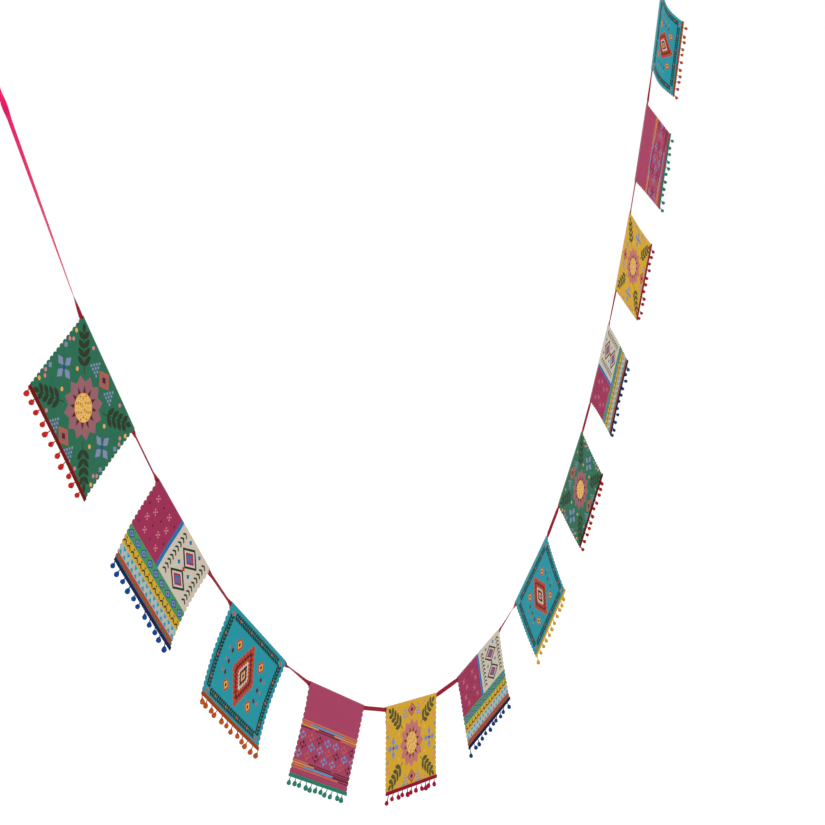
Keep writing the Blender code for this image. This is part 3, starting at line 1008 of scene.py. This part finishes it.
def make_loop(route, side, materials):
    """Loop, knot and free end at one end of the ribbon."""
    end = route.station(0)[0] if side == "left" else route.station(route.length())[0]
    outward = (MOUNTS[f"{side}_loop"] - end).normalized()
    shell = Shell()
    strip_shell(shell, loop_stations())
    strip_shell(shell, free_end_stations(), cut_slant=FREE_END_CUT_SLANT)
    knot_shell(shell)
    piece = shell_piece(f"hanging_loop_{side}", shell, materials)
    piece.data.transform(frame_along(end, outward))
    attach(piece, "ribbon")
    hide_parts(f"{side}_hanging_loop")
    return piece


# Printed designs. Shapes are lists of (x, y) in millimetres: x from the card's middle, y up from
# its bottom edge. A print is a list of (ink, shape), later ones over earlier ones.

LEAF_STEPS = 6


def box(left, low, right, high):
    return [(left, low), (right, low), (right, high), (left, high)]


def diamond(x, y, half_wide, half_high):
    return [(x - half_wide, y), (x, y - half_high), (x + half_wide, y), (x, y + half_high)]


def dot(x, y, radius, sides=16):
    turns = [2 * math.pi * side / sides for side in range(sides)]
    return [(x + radius * math.cos(turn), y + radius * math.sin(turn)) for turn in turns]


def star(x, y, outer, inner, points, turn_deg=0):
    corners = []
    for number in range(2 * points):
        turn = math.pi * number / points + math.radians(turn_deg)
        radius = inner if number % 2 else outer
        corners.append((x + radius * math.cos(turn), y + radius * math.sin(turn)))
    return corners


def triangle(x, y, half_wide, high):
    return [(x - half_wide, y), (x + half_wide, y), (x, y + high)]


def stem(x, y, to_x, to_y, width):
    run = Vector((to_x - x, to_y - y)).normalized() * width / 2
    return [
        (x + run.y, y - run.x), (to_x + run.y, to_y - run.x),
        (to_x - run.y, to_y + run.x), (x - run.y, y + run.x),
    ]


def leaf(x, y, length, half_wide, turn_deg):
    """A pointed leaf that grows from (x, y)."""
    along = Vector((math.cos(math.radians(turn_deg)), math.sin(math.radians(turn_deg))))
    across = Vector((-along.y, along.x))
    corners = []
    for number in range(2 * LEAF_STEPS):
        side = -1 if number < LEAF_STEPS else 1
        share = 1 - abs(number / LEAF_STEPS - 1)
        bulge = half_wide * math.sin(math.pi * share) ** 0.8 if 0 < share < 1 else 0
        point = Vector((x, y)) + along * length * share + across * side * bulge
        corners.append(tuple(point))
    return corners


def stepped(x, y, half_wide, half_high, steps):
    """A diamond with stairs for sides."""
    stairs = []
    for step in range(steps):
        wide = half_wide * (steps - step) / steps
        stairs += [(wide, half_high * step / steps), (wide, half_high * (step + 1) / steps)]
    upper = stairs + [(-px, py) for px, py in reversed(stairs)]
    lower = [(px, -py) for px, py in reversed(upper)]
    return [(x + px, y + py) for px, py in upper[1:-1] + lower[1:-1]]


def chevron(x, y, half_wide, rise, thick):
    return [
        (x - half_wide, y), (x, y + rise), (x + half_wide, y),
        (x + half_wide, y + thick), (x, y + rise + thick), (x - half_wide, y + thick),
    ]


def mirrored(shapes):
    """The shapes, and their mirror images about the card's middle."""
    return shapes + [(ink, [(-x, y) for x, y in shape]) for ink, shape in shapes]


def anticlockwise(shape):
    following = shape[1:] + shape[:1]
    doubled_area = sum(x * next_y - next_x * y for (x, y), (next_x, next_y) in zip(shape, following))
    return shape if doubled_area > 0 else shape[::-1]


def spaced(first, last, count):
    return [first + (last - first) * number / (count - 1) for number in range(count)]


def nested(x, y, sizes, inks):
    """Diamonds one inside the other, of (half width, half height)."""
    return [(ink, diamond(x, y, *size)) for ink, size in zip(inks, sizes)]


def sprig(x, y, turn_deg, length, ink):
    """A straight stem with pairs of leaves and one at its tip."""
    run = Vector((math.cos(math.radians(turn_deg)), math.sin(math.radians(turn_deg))))
    tip = Vector((x, y)) + run * length
    shapes = [(ink, stem(x, y, *tip, 1.2))]
    for share in (0.2, 0.42, 0.64, 0.86):
        foot = Vector((x, y)) + run * length * share
        for side in (-1, 1):
            shapes.append((ink, leaf(*foot, 16 - 5 * share, 3.3, turn_deg + side * 46)))
    shapes.append((ink, leaf(*tip, 11, 3, turn_deg)))
    return shapes


def four_diamonds(x, y, ink, centre_ink):
    """Four diamonds in a cross about a small square."""
    shapes = [(ink, diamond(x + sx * 9, y, 7, 4.6)) for sx in (-1, 1)]
    shapes += [(ink, diamond(x, y + sy * 9, 4.6, 7)) for sy in (-1, 1)]
    return shapes + [(centre_ink, diamond(x, y, 3.4, 3.4))]


def dotted_triangle(x, y, ink):
    shapes = []
    for row in range(4):
        for number in range(4 - row):
            left = x - (3 - row) * 2.3
            shapes.append((ink, dot(left + number * 4.6, y + row * 4.1, 1.7, 8)))
    return shapes


def star_print(star_ink, stem_ink):
    """A large star among sprigs, diamonds and dots."""
    shapes = [(star_ink, star(0, 60, 34, 27, 12))]
    shapes += [("maroon", star(0, 60, 23.5, 13, 12, 15))]
    shapes += [("ochre", dot(0, 60, 15.5, 28))]
    for radius, count in ((3.2, 6), (6.5, 12), (9.8, 18), (13.1, 24)):
        for number in range(count):
            turn = radius + 2 * math.pi * number / count
            x, y = radius * math.cos(turn), 60 + radius * math.sin(turn)
            shapes.append(("maroon" if number % 3 == 0 else "straw", dot(x, y, 0.8, 6)))
    side = sprig(26, 83, 37, 42, stem_ink) + sprig(26, 37, -37, 42, stem_ink)
    side += four_diamonds(53, 60, "lilac", "navy")
    side += [("lilac", diamond(69, y, 3.4, 3.4)) for y in (43, 77)]
    side += dotted_triangle(19, 6, "lilac") + dotted_triangle(19, 98, "lilac")
    for x, y in ((66, 91), (70, 86), (66, 29), (70, 34), (38, 112), (38, 8)):
        side.append(("blush", dot(x, y, 2.2)))
    for x, y in ((38, 77), (38, 43), (70, 20), (70, 100)):
        side.append(("ochre", dot(x, y, 2.4)))
    shapes += mirrored(side)
    for y in (14, 106):
        shapes += nested(0, y, ((13, 10), (9, 7), (4.5, 3.5)), ("coral", star_ink, "maroon"))
    return shapes


def border_row(along, fixed, upright):
    """One side of the teal pennant's border: small arrows, with a diamond now and then."""
    shapes = []
    for number, place in enumerate(along):
        for turn in (-45, 45):
            if upright:
                arrow = leaf(fixed, place, 6.8, 1.9, 90 - turn)
            else:
                arrow = leaf(place, fixed, 6.8, 1.9, turn)
            shapes.append(("forest", arrow))
        if number % 6 == 3:
            x, y = (fixed, place) if upright else (place, fixed)
            shapes.append(("coral", diamond(x, y, 2.4, 2.4)))
    return shapes


def medallion_print():
    """A tall stepped medallion in a border of small arrows."""
    shapes = []
    for x in (-64, 64):
        shapes += border_row(spaced(14, 102, 20), x, True)
    for y in (12, 109):
        shapes += border_row(spaced(-58, 54, 25), y, False)
    for x in (-64, 64):
        for y in (10, 109):
            shapes.append(("coral", diamond(x, y, 3.4, 3.4)))
    shapes += [
        ("brick", stepped(0, 60, 25, 39, 7)),
        ("maroon", stepped(0, 60, 19, 30, 6)),
        ("brick", stepped(0, 60, 15.5, 25, 6)),
        ("cream", stepped(0, 60, 11, 18, 5)),
        ("maroon", stepped(0, 60, 8, 13, 4)),
        ("ochre", diamond(0, 60, 5, 8)),
        ("navy", diamond(0, 60, 2.5, 4)),
    ]
    side = []
    for y in (34, 86):
        side += nested(29, y, ((8, 9), (5, 6), (2.4, 3)), ("brick", "ochre", "maroon"))
    for y in (46, 60, 74):
        side += [("maroon", diamond(38, y, 3, 4)), ("coral", diamond(46, y, 2, 2.6))]
    return shapes + mirrored(side)


def striped_print():
    """Woven-look stripes, and a small lattice between them."""
    upper = (
        (70.2, 71.8, (("orange", -80, 80),)),
        (67.0, 69.2, (("orange", -80, -52), ("sky", -52, 38), ("orange", 38, 80))),
        (64.6, 66.0, (("yellow", -80, -30), ("maroon", -30, 12), ("yellow", 12, 80))),
        (62.0, 63.4, (("maroon", -80, -46), ("maroon", -38, 30), ("orange", 30, 80))),
    )
    lower = (
        (20.2, 21.6, (("orange", -80, -36), ("maroon", -36, 24), ("maroon", 32, 80))),
        (17.6, 19.0, (("yellow", -80, -20), ("maroon", -20, 80))),
        (14.2, 16.6, (("orange", -80, -44), ("sky", -44, 30), ("maroon", 30, 80))),
        (11.4, 12.8, (("orange", -80, 46), ("maroon", 46, 80))),
    )
    shapes = []
    for low, high, parts in upper + lower:
        shapes += [(ink, box(left, low, right, high)) for ink, left, right in parts]
    cycle = ("lilac", "coral", "maroon", "sky")
    for row, y in enumerate((30, 41.5, 53)):
        for column, x in enumerate(spaced(-66, 66, 7)):
            ink = cycle[(column + 2 * row) % len(cycle)]
            x += 0 if row % 2 == 0 else 6
            shapes += [(ink, triangle(x, y + side * 1.6, 4, side * 4.6)) for side in (-1, 1)]
            shapes += [(ink, diamond(x + side * 6.4, y, 1.9, 2.6)) for side in (-1, 1)]
    return shapes


def square_cross(x, y, size, ink):
    """Five small squares in a cross."""
    centres = ((0, 0), (size, size), (-size, size), (size, -size), (-size, -size))
    half = size * 0.46
    return [
        (ink, box(x + cx - half, y + cy - half, x + cx + half, y + cy + half))
        for cx, cy in centres
    ]


def panelled_print():
    """Blocks above a band and three patterned stripes."""
    shapes = [
        ("raspberry", box(-90, 52, -8, 160)),
        ("blue", box(-8, 52, -2.5, 160)),
        ("cream", box(-2.5, 52, 90, 160)),
        ("leaf", box(-90, 38, 90, 52)),
        ("yellow", box(-90, 25.5, 90, 38)),
        ("mist", box(-90, 12.5, 90, 25.5)),
        ("brick", box(-90, -20, 90, 12.5)),
    ]
    for row, y in enumerate((64, 77, 90, 103)):
        for column in range(4):
            x = -66 + 15 * column + (7.5 if row % 2 else 0)
            if (row + column) % 2:
                shapes += square_cross(x, y, 2.1, "blush")
            else:
                shapes.append(("maroon", diamond(x, y, 1.6, 2)))
    for y in (69, 99):
        shapes += nested(
            36, y, ((20, 13.5), (15.5, 10.4), (11.5, 7.6), (7, 4.6), (3, 2)),
            ("forest", "cream", "raspberry", "blue", "brick"),
        )
    for x in (9, 63):
        for y in spaced(58, 108, 9):
            shapes.append(("forest", chevron(x, y, 4.6, 2.8, 2.6)))
    for x, y in ((23, 84), (49, 84), (23, 112), (49, 112), (36, 84)):
        shapes.append(("brick" if x == 36 else "blue", diamond(x, y, 3.4, 3)))
    for x in spaced(-66, 66, 9):
        shapes += nested(x, 45, ((7, 5.6), (4.8, 3.8), (2.2, 1.8)), ("navy", "lilac", "navy"))
    for x in spaced(-70, 70, 15):
        shapes.append(("forest", chevron(x, 27.6, 4.2, 3.4, 2.6)))
        shapes.append(("forest", diamond(x, 35.6, 1.5, 1.5)))
    for x in spaced(-70, 70, 15):
        shapes.append(("teal", triangle(x, 13.5, 3.6, 5.2)))
        shapes.append(("teal", triangle(x + 5, 24.5, 3.6, -5.2)))
        shapes.append(("ochre", dot(x + 5, 16, 1.1, 8)))
    for x in spaced(-71, 71, 20):
        shapes.append(("green", triangle(x, 5.4, 3, 5.4)))
    return shapes


# Ground, print and the inks that it is given
PRINTS = {
    "green": ("green", star_print, "dusk", "olive"),
    "yellow": ("yellow", star_print, "rose", "moss"),
    "teal": ("teal", medallion_print),
    "pink": ("pink", striped_print),
    "panelled": ("raspberry", panelled_print),
}


# Card pennants

def panel_push(place, height):
    """How far a pennant's card stands back from the hanging plane at a height on it."""
    down = (RAMP_BOTTOM - height) / (RAMP_BOTTOM - PANEL_BOTTOM)
    if down <= 0:
        return 0
    bottom = PENNANT_HEIGHT * BOTTOM_PUSH_SHARES[place] * down**2
    return bottom + PENNANT_HEIGHT * MIDDLE_PUSH_SHARES[place] * math.sin(math.pi * min(down, 1))


def card_curl(place, x, height):
    """A slight curl of the card's lower corners, its own on each pennant."""
    down = (RAMP_BOTTOM - height) / (RAMP_BOTTOM - PANEL_BOTTOM)
    if down <= 0:
        return 0
    dice = random.Random(CARD_CURL_SEED + place)
    side_share = x / (PENNANT_WIDTH / 2)
    lean, cup = dice.uniform(-1, 1), dice.uniform(-1, 1)
    return CARD_CURL * down**2 * (lean * side_share + cup * side_share**2)


def folded_place(arc):
    """(y, z) of the sheet's middle at an arc length from the crest, negative on the front."""
    if arc <= -QUARTER_FOLD:
        return -FOLD_RADIUS, FOLD_CENTRE + arc + QUARTER_FOLD
    if arc < QUARTER_FOLD:
        turn = arc / FOLD_RADIUS
        return FOLD_RADIUS * math.sin(turn), FOLD_CENTRE + FOLD_RADIUS * math.cos(turn)
    height = FOLD_CENTRE - (arc - QUARTER_FOLD)
    if height >= RAMP_TOP:
        return FOLD_RADIUS, height
    if height >= RAMP_BOTTOM:
        down_ramp = (RAMP_TOP - height) / (RAMP_TOP - RAMP_BOTTOM)
        return FOLD_RADIUS - down_ramp * FOLD_RADIUS, height
    return 0.0, height


def half_width(arc):
    """Half the sheet's width at an arc length: round scallops, a full one over the fold."""
    from_peak = arc - SCALLOP_PITCH * round(arc / SCALLOP_PITCH)
    rise = math.sqrt(SCALLOP_RADIUS**2 - from_peak**2) - (SCALLOP_RADIUS - SCALLOP_DEPTH)
    return PENNANT_WIDTH / 2 - SCALLOP_DEPTH + rise


def sheet_outline():
    """The flat sheet's scalloped outline as (x, arc), once round."""
    step = SCALLOP_PITCH / STEPS_PER_SCALLOP
    arcs = [-FRONT_LENGTH + step * number for number in range(int(FLAT_LENGTH / step) + 1)]
    if FLAP_LENGTH - arcs[-1] > step / 10:
        arcs.append(FLAP_LENGTH)
    right = [(half_width(arc), arc) for arc in arcs]
    left = [(-half_width(arc), arc) for arc in reversed(arcs)]
    return right + left


def bend_rows():
    """Arc lengths at which the sheet is cut across, so that it can bend there."""
    rows = [QUARTER_FOLD * (2 * step / FOLD_STEPS - 1) for step in range(FOLD_STEPS + 1)]
    rows += [QUARTER_FOLD + FOLD_CENTRE - RAMP_TOP, QUARTER_FOLD + FOLD_CENTRE - RAMP_BOTTOM]
    arc = -QUARTER_FOLD - PANEL_ROW_STEP
    while arc > -FRONT_LENGTH + PANEL_ROW_STEP / 2:
        rows.append(arc)
        arc -= PANEL_ROW_STEP
    return rows


def flat_print(colour_name):
    """The flat sheet cut up by its print: points (x, arc), triangles and the ink of each."""
    ground, design, *inks = PRINTS[colour_name]
    points = [Vector(point) for point in sheet_outline()]
    faces = [list(range(len(points)))]
    face_inks = [ground]
    for ink, shape in design(*inks):
        faces.append([len(points) + corner for corner in range(len(shape))])
        face_inks.append(ink)
        points += [Vector((x * MM, y * MM - FRONT_LENGTH)) for x, y in anticlockwise(shape)]
    lines = [((-PENNANT_WIDTH, arc), (PENNANT_WIDTH, arc)) for arc in bend_rows()]
    columns = round(PENNANT_WIDTH / PANEL_COLUMN_STEP)
    for number in range(1, columns):
        x = PENNANT_WIDTH * (number / columns - 0.5)
        lines.append(((x, -FLAT_LENGTH), (x, FLAT_LENGTH)))
    edges = []
    for line in lines:
        edges.append((len(points), len(points) + 1))
        points += [Vector(end) for end in line]
    flat, _, triangles, _, _, sources = delaunay_2d_cdt(points, edges, faces, 0, 1e-7, True)
    kept = [
        (corners, face_inks[max(source)])
        for corners, source in zip(triangles, sources)
        if 0 in source
    ]
    return flat, [corners for corners, _ in kept], [ink for _, ink in kept]


def make_card(place, materials, settings, prints):
    """One printed sheet folded over the ribbon, its flap glued down behind."""
    node = CARD_NODES[place]
    colour_name = node.split("_", 2)[2]
    if colour_name not in prints:
        prints[colour_name] = flat_print(colour_name)
    flat, triangles, inks = prints[colour_name]
    used = sorted({corner for corners in triangles for corner in corners})
    number_of = {corner: number for number, corner in enumerate(used)}
    points = []
    for corner in used:
        x, arc = flat[corner]
        y, z = folded_place(arc)
        points.append((x, y + panel_push(place, z) + card_curl(place, x, z), z))
    name = f"card_{place + 1:02d}_{colour_name}"
    mesh = bpy.data.meshes.new(name)
    mesh.from_pydata(points, [], [[number_of[c] for c in corners] for corners in triangles])
    sheet = mesh.uv_layers.new(name="Sheet")
    sheet.data.foreach_set(
        "uv", [number for corners in triangles for c in corners for number in flat[c]]
    )
    ink_layer = mesh.color_attributes.new(name="Ink", type="FLOAT_COLOR", domain="CORNER")
    shades = {ink: linear(getattr(settings.inks, ink)) for ink in set(inks)}
    ink_layer.data.foreach_set(
        "color", [value for ink in inks for value in shades[ink] * 3]
    )
    for material in materials:
        mesh.materials.append(material)
    piece = piece_object(name, mesh)
    thick = piece.modifiers.new("Card thickness", "SOLIDIFY")
    thick.thickness = CARD_THICKNESS
    thick.offset = 0
    thick.material_offset = 1
    thick.material_offset_rim = 2
    settle_modifiers(piece)
    piece.data.transform(pennant_frame(place))
    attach(piece, pennant_body(place))
    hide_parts(node)


def settle_modifiers(piece):
    """Turns the modifiers' result into the piece's own mesh, smooth but for sharp edges."""
    graph = bpy.context.evaluated_depsgraph_get()
    mesh = bpy.data.meshes.new_from_object(
        piece.evaluated_get(graph), preserve_all_data_layers=True, depsgraph=graph
    )
    piece.modifiers.clear()
    piece.data = mesh
    smooth_mesh(mesh, CARD_SHARP_DEG)


# Pom-pom trim

def braid_seat(place):
    """Where the braid lies on the card's front: across its bottom edge, along its slope."""
    middle = PANEL_BOTTOM - BRAID_OVERHANG + BRAID_HEIGHT / 2
    fall = panel_push(place, PANEL_BOTTOM) - panel_push(place, middle + BRAID_HEIGHT / 2)
    slope = math.atan2(fall, BRAID_HEIGHT - BRAID_OVERHANG)
    off_card = FOLD_RADIUS + (CARD_THICKNESS + BRAID_THICKNESS) / 2 + BRAID_SEAT_GAP
    seat = Matrix.Translation((0, panel_push(place, middle) - off_card, middle))
    return seat @ Matrix.Rotation(slope, 4, "X")


def braid_rise(x, up_share):
    """How far the braid's front stands out, from 0 to 1: cords side by side, each plaited."""
    cords = BRAID_CORDS * (up_share + 1) / 2
    cord = min(int(cords), BRAID_CORDS - 1)
    across = 2 * (cords - cord) - 1
    lean = 0.5 if cord % 2 else -0.5
    plait = math.cos(2 * math.pi * (x / BRAID_PLAIT_PITCH + lean * across / 2))
    strand = 1 - BRAID_PLAIT_SHARE + BRAID_PLAIT_SHARE * plait
    return math.sqrt(max(1 - across**2, 0)) * strand


def braid_body(shell):
    """The braid along X about its own middle, detailed in front and flat behind."""
    columns = round(PENNANT_WIDTH / BRAID_STEP)
    ups = spaced(-1, 1, BRAID_ROWS)
    sides = len(ups) + 2
    points, rises = [], []
    for column in range(columns + 1):
        x = -PENNANT_WIDTH / 2 + BRAID_STEP * column
        for up_share in ups:
            rise = braid_rise(x, up_share)
            front = BRAID_THICKNESS * (BRAID_VALLEY_SHARE - BRAID_RELIEF_SHARE * rise)
            points.append(Vector((x, front, up_share * BRAID_HEIGHT / 2)))
            # The rise also paints shade in the valleys between the cords
            rises.append(rise)
        for up_share in (1, -1):
            points.append(Vector((x, BRAID_THICKNESS / 2, up_share * BRAID_HEIGHT / 2)))
            rises.append(BRAID_BACK_RISE)
    shell.add(points, ring_faces(columns + 1, sides), 0, rises)


def thread_body(shell, length, hang):
    """A twisted thread down from z = THREAD_ROOT, with hang its place on the braid."""
    points = []
    for ring in range(THREAD_RINGS + 1):
        z = THREAD_ROOT - (THREAD_ROOT + length) * ring / THREAD_RINGS
        flare = 1 + THREAD_FLARE_SHARE * (ring / THREAD_RINGS) ** 2
        for side in range(THREAD_SIDES):
            angle = 2 * math.pi * side / THREAD_SIDES
            ply = 1 + THREAD_PLY_SHARE * math.cos(2 * angle + THREAD_TWIST_PER_METRE * z)
            radius = THREAD_DIAMETER / 2 * ply * flare
            points.append(hang @ Vector((radius * math.cos(angle), radius * math.sin(angle), z)))
    # A fixed low rise paints the whole thread in shade
    rises = [THREAD_RISE] * len(points)
    shell.add(points, ring_faces(THREAD_RINGS + 1, THREAD_SIDES), 1, rises)


def ball_body(shell, template, radius, centre_z, hang, seed, fluff):
    """A pom-pom: a tufted ball with a neck at its thread, with hang its place on the braid."""
    directions, faces = template
    offset = Vector([seed * step for step in TUFT_SEED_STEPS])
    points, rises = [], []
    for direction in directions:
        rise = sum(
            weight * noise.noise(direction * scale + offset) for scale, weight in TUFT_LAYERS
        )
        neck = POM_POM_NECK_SHARE * max(direction.z, 0) ** 4
        reach = radius * (1 + fluff * rise + neck)
        points.append(hang @ (direction * reach + Vector((0, 0, centre_z))))
        # Hollows between the tufts get a low rise, which paints shade there
        rises.append(min(max(0.5 + TUFT_SHADE_SHARE * rise, 0), 1))
    shell.add(points, faces, 2, rises)


def ball_template():
    bm = bmesh.new()
    bmesh.ops.create_icosphere(bm, subdivisions=POM_POM_SUBDIVISIONS, radius=1)
    directions = [vert.co.copy() for vert in bm.verts]
    faces = [[vert.index for vert in face.verts] for face in bm.faces]
    bm.free()
    return directions, faces


def tilted(dice, most_deg, axis):
    return Matrix.Rotation(math.radians(most_deg) * dice.uniform(-1, 1), 4, axis)


def make_trim(place, template, settings):
    """Braid along the card's bottom edge with a row of pom-poms on short threads."""
    node = TRIM_NODES[place]
    colour_name = node.split("_", 2)[2]
    shade = getattr(settings.yarns, colour_name)
    dark = BRAID_SHARES[colour_name]
    # The trims listed there get painted shade: a darker copy of their yarn
    dye, dyed = (TRIM_SHADE_SHARE, "deep_") if place + 1 in SHADED_TRIMS else (1.0, "")
    brightness = {"braid": dark, "thread": 0.3 + 0.5 * dark, "pom_pom": 1.0}
    materials = [
        yarn_material(f"{dyed}{colour_name}_{part}", shade, dye * brightness[part], *finish)
        for part, finish in YARN_FIBRES_AND_SHADES.items()
    ]
    shell = Shell()
    braid_body(shell)
    dice = random.Random(place)
    along = POM_POM_PITCH * FIRST_POM_POM_SHARES[place]
    number = 0
    while along < PENNANT_WIDTH:
        radius = POM_POM_DIAMETER / 2 * spread(dice, POM_POM_SPREAD_SHARE)
        thread = THREAD_LENGTH * spread(dice, THREAD_SPREAD_SHARE)
        root = Matrix.Translation((along - PENNANT_WIDTH / 2, 0, -BRAID_HEIGHT / 2))
        turn = tilted(dice, THREAD_LEAN_DEG, "Y") @ tilted(dice, THREAD_SWAY_DEG, "X")
        if number == 0 and place + 1 in LOOSE_THREADS:
            longer, lean_deg = LOOSE_THREADS[place + 1]
            thread *= longer
            turn = Matrix.Rotation(math.radians(lean_deg), 4, "Y")
        hang = root @ turn
        seed = POM_POM_SEEDS_PER_TRIM * place + number
        thread_body(shell, thread + THREAD_TUCK_SHARE * radius, hang)
        ball_body(
            shell, template, radius, -thread - radius, hang, seed, settings.yarns.fluff
        )
        along += POM_POM_PITCH
        number += 1
    seat = braid_seat(place)
    settled = []
    for point in shell.points:
        lying = seat @ point
        curl = card_curl(place, lying.x, max(lying.z, PANEL_BOTTOM))
        settled.append(pennant_frame(place) @ (lying + Vector((0, curl, 0))))
    shell.points = settled
    name = f"pom_pom_trim_{place + 1:02d}_{colour_name}"
    piece = shell_piece(name, shell, materials, TRIM_SHARP_DEG)
    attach(piece, pennant_body(place))
    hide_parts(node)


# Stage

def clear_startup_objects():
    for name in ("Cube", "Light", "Camera"):
        startup = bpy.data.objects.get(name)
        if startup:
            bpy.data.objects.remove(startup, do_unlink=True)


def make_camera():
    right, forward = Vector(CAMERA_RIGHT), Vector(CAMERA_FORWARD)
    axes = Matrix((right, right.cross(forward), -forward)).transposed().to_4x4()
    camera = placed("photo_camera", bpy.data.cameras.new("photo_camera"))
    camera.matrix_world = Matrix.Translation(CAMERA_PLACE) @ axes
    camera.data.lens = CAMERA_LENS_MM
    camera.data.clip_end = 100
    bpy.context.scene.camera = camera


def make_lamp(name, power, size, place):
    data = bpy.data.lights.new(name, "AREA")
    data.energy = power
    data.shape = "RECTANGLE"
    data.size, data.size_y = size
    lamp = placed(name, data)
    lamp.location = place
    aim = Vector(BANNER_MIDDLE) - Vector(place)
    lamp.rotation_euler = aim.to_track_quat("-Z", "Y").to_euler()


def make_world(ambient):
    """Even room light, which the camera sees as white."""
    world = bpy.data.worlds.new("studio_room")
    world.use_nodes = True
    tree = world.node_tree
    tree.nodes.clear()
    light = shader_node(
        tree, "ShaderNodeBackground", {"Color": WHITE, "Strength": ambient}
    )
    white = shader_node(tree, "ShaderNodeBackground", {"Color": WHITE, "Strength": 1.0})
    shown = shader_node(
        tree, "ShaderNodeMixShader",
        {0: seen_directly(tree), 1: light.outputs[0], 2: white.outputs[0]},
    )
    shader_node(tree, "ShaderNodeOutputWorld", {"Surface": shown.outputs[0]})
    bpy.context.scene.world = world


def make_floor(settings):
    bm = bmesh.new()
    bmesh.ops.create_grid(bm, x_segments=4, y_segments=4, size=FLOOR_SIZE / 2)
    mesh = bpy.data.meshes.new("studio_floor")
    bm.to_mesh(mesh)
    bm.free()
    mesh.materials.append(floor_material(settings))
    floor = piece_object("studio_floor", mesh)
    floor.location.z = FLOOR_HEIGHT


# Operators

class BANNER_OT_stage(bpy.types.Operator):
    """Set up the camera, the floor and the soft studio light"""

    bl_idname = "banner.stage"
    bl_label = "Set up the stage"

    def execute(self, context):
        settings = context.scene.banner.stage
        context.scene.view_settings.view_transform = "Standard"
        make_camera()
        make_world(settings.ambient)
        make_floor(settings)
        for name, (size, place) in LAMPS.items():
            make_lamp(f"{name}_lamp", getattr(settings, name), size, place)
        return {"FINISHED"}


class BANNER_OT_ribbon(bpy.types.Operator):
    """Lay the satin ribbon through the pennants, and tie its hanging loops"""

    bl_idname = "banner.ribbon"
    bl_label = "Make the ribbon and its loops"

    def execute(self, context):
        settings = context.scene.banner.ribbon
        # The back takes the shaded copy of the satin, as painted shade, and the front the lit copy, as painted
        # light
        materials = [
            satin_material(f"satin_{side}_side", settings, getattr(settings, side), *finish)
            for side, finish in SATIN_FINISHES.items()
        ]
        route = Route()
        left_loop = make_loop(route, "left", materials)
        right_loop = make_loop(route, "right", materials)
        left_tail = make_tail(route, -1, materials)
        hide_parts("ribbon")
        make_tail(route, 1, materials)
        for place in PLACES:
            make_sleeve_strip(route, place, materials)
            if place > PLACES[0]:
                make_half_span(route, place, -1, materials)
            if place < PLACES[-1]:
                make_half_span(route, place, 1, materials)
        return {"FINISHED"}


class BANNER_OT_cards(bpy.types.Operator):
    """Print, cut and fold the twelve card pennants"""

    bl_idname = "banner.cards"
    bl_label = "Make the card pennants"

    def execute(self, context):
        settings = context.scene.banner
        materials = [
            printed_card_material(settings),
            board_material("card_back", settings, 0.0, 700.0),
            board_material("card_cut_edge", settings, 0.85, 1600.0),
        ]
        prints = {}
        for place in PLACES:
            make_card(place, materials, settings, prints)
        return {"FINISHED"}


class BANNER_OT_trims(bpy.types.Operator):
    """Sew the pom-pom braid along each pennant's bottom edge"""

    bl_idname = "banner.trims"
    bl_label = "Make the pom-pom trims"

    def execute(self, context):
        template = ball_template()
        for place in PLACES:
            make_trim(place, template, context.scene.banner)
        return {"FINISHED"}


class BANNER_PT_panel(bpy.types.Panel):
    """Settings and steps of the banner"""

    bl_idname = "BANNER_PT_panel"
    bl_label = "Pennant banner"
    bl_space_type = "VIEW_3D"
    bl_region_type = "UI"
    bl_category = "Banner"

    def draw(self, context):
        settings = context.scene.banner
        for operator in STEPS:
            self.layout.operator(operator.bl_idname)
        for title in ("inks", "yarns", "ribbon", "card", "stage"):
            part = self.layout.box()
            part.label(text=title.capitalize())
            group = getattr(settings, title)
            for name in group.__annotations__:
                part.prop(group, name)


STEPS = (BANNER_OT_stage, BANNER_OT_ribbon, BANNER_OT_cards, BANNER_OT_trims)
CLASSES = (
    BannerInks, BannerYarns, BannerRibbon, BannerCard, BannerStage, BannerSettings,
    *STEPS, BANNER_PT_panel,
)


def register():
    for cls in CLASSES:
        bpy.utils.register_class(cls)
    bpy.types.Scene.banner = PointerProperty(type=BannerSettings)


def unregister():
    del bpy.types.Scene.banner
    for cls in reversed(CLASSES):
        bpy.utils.unregister_class(cls)


def main():
    clear_startup_objects()
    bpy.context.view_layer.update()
    register()
    bpy.ops.banner.stage()
    bpy.ops.banner.ribbon()
    bpy.ops.banner.cards()
    bpy.ops.banner.trims()


if __name__ == "__main__":
    main()
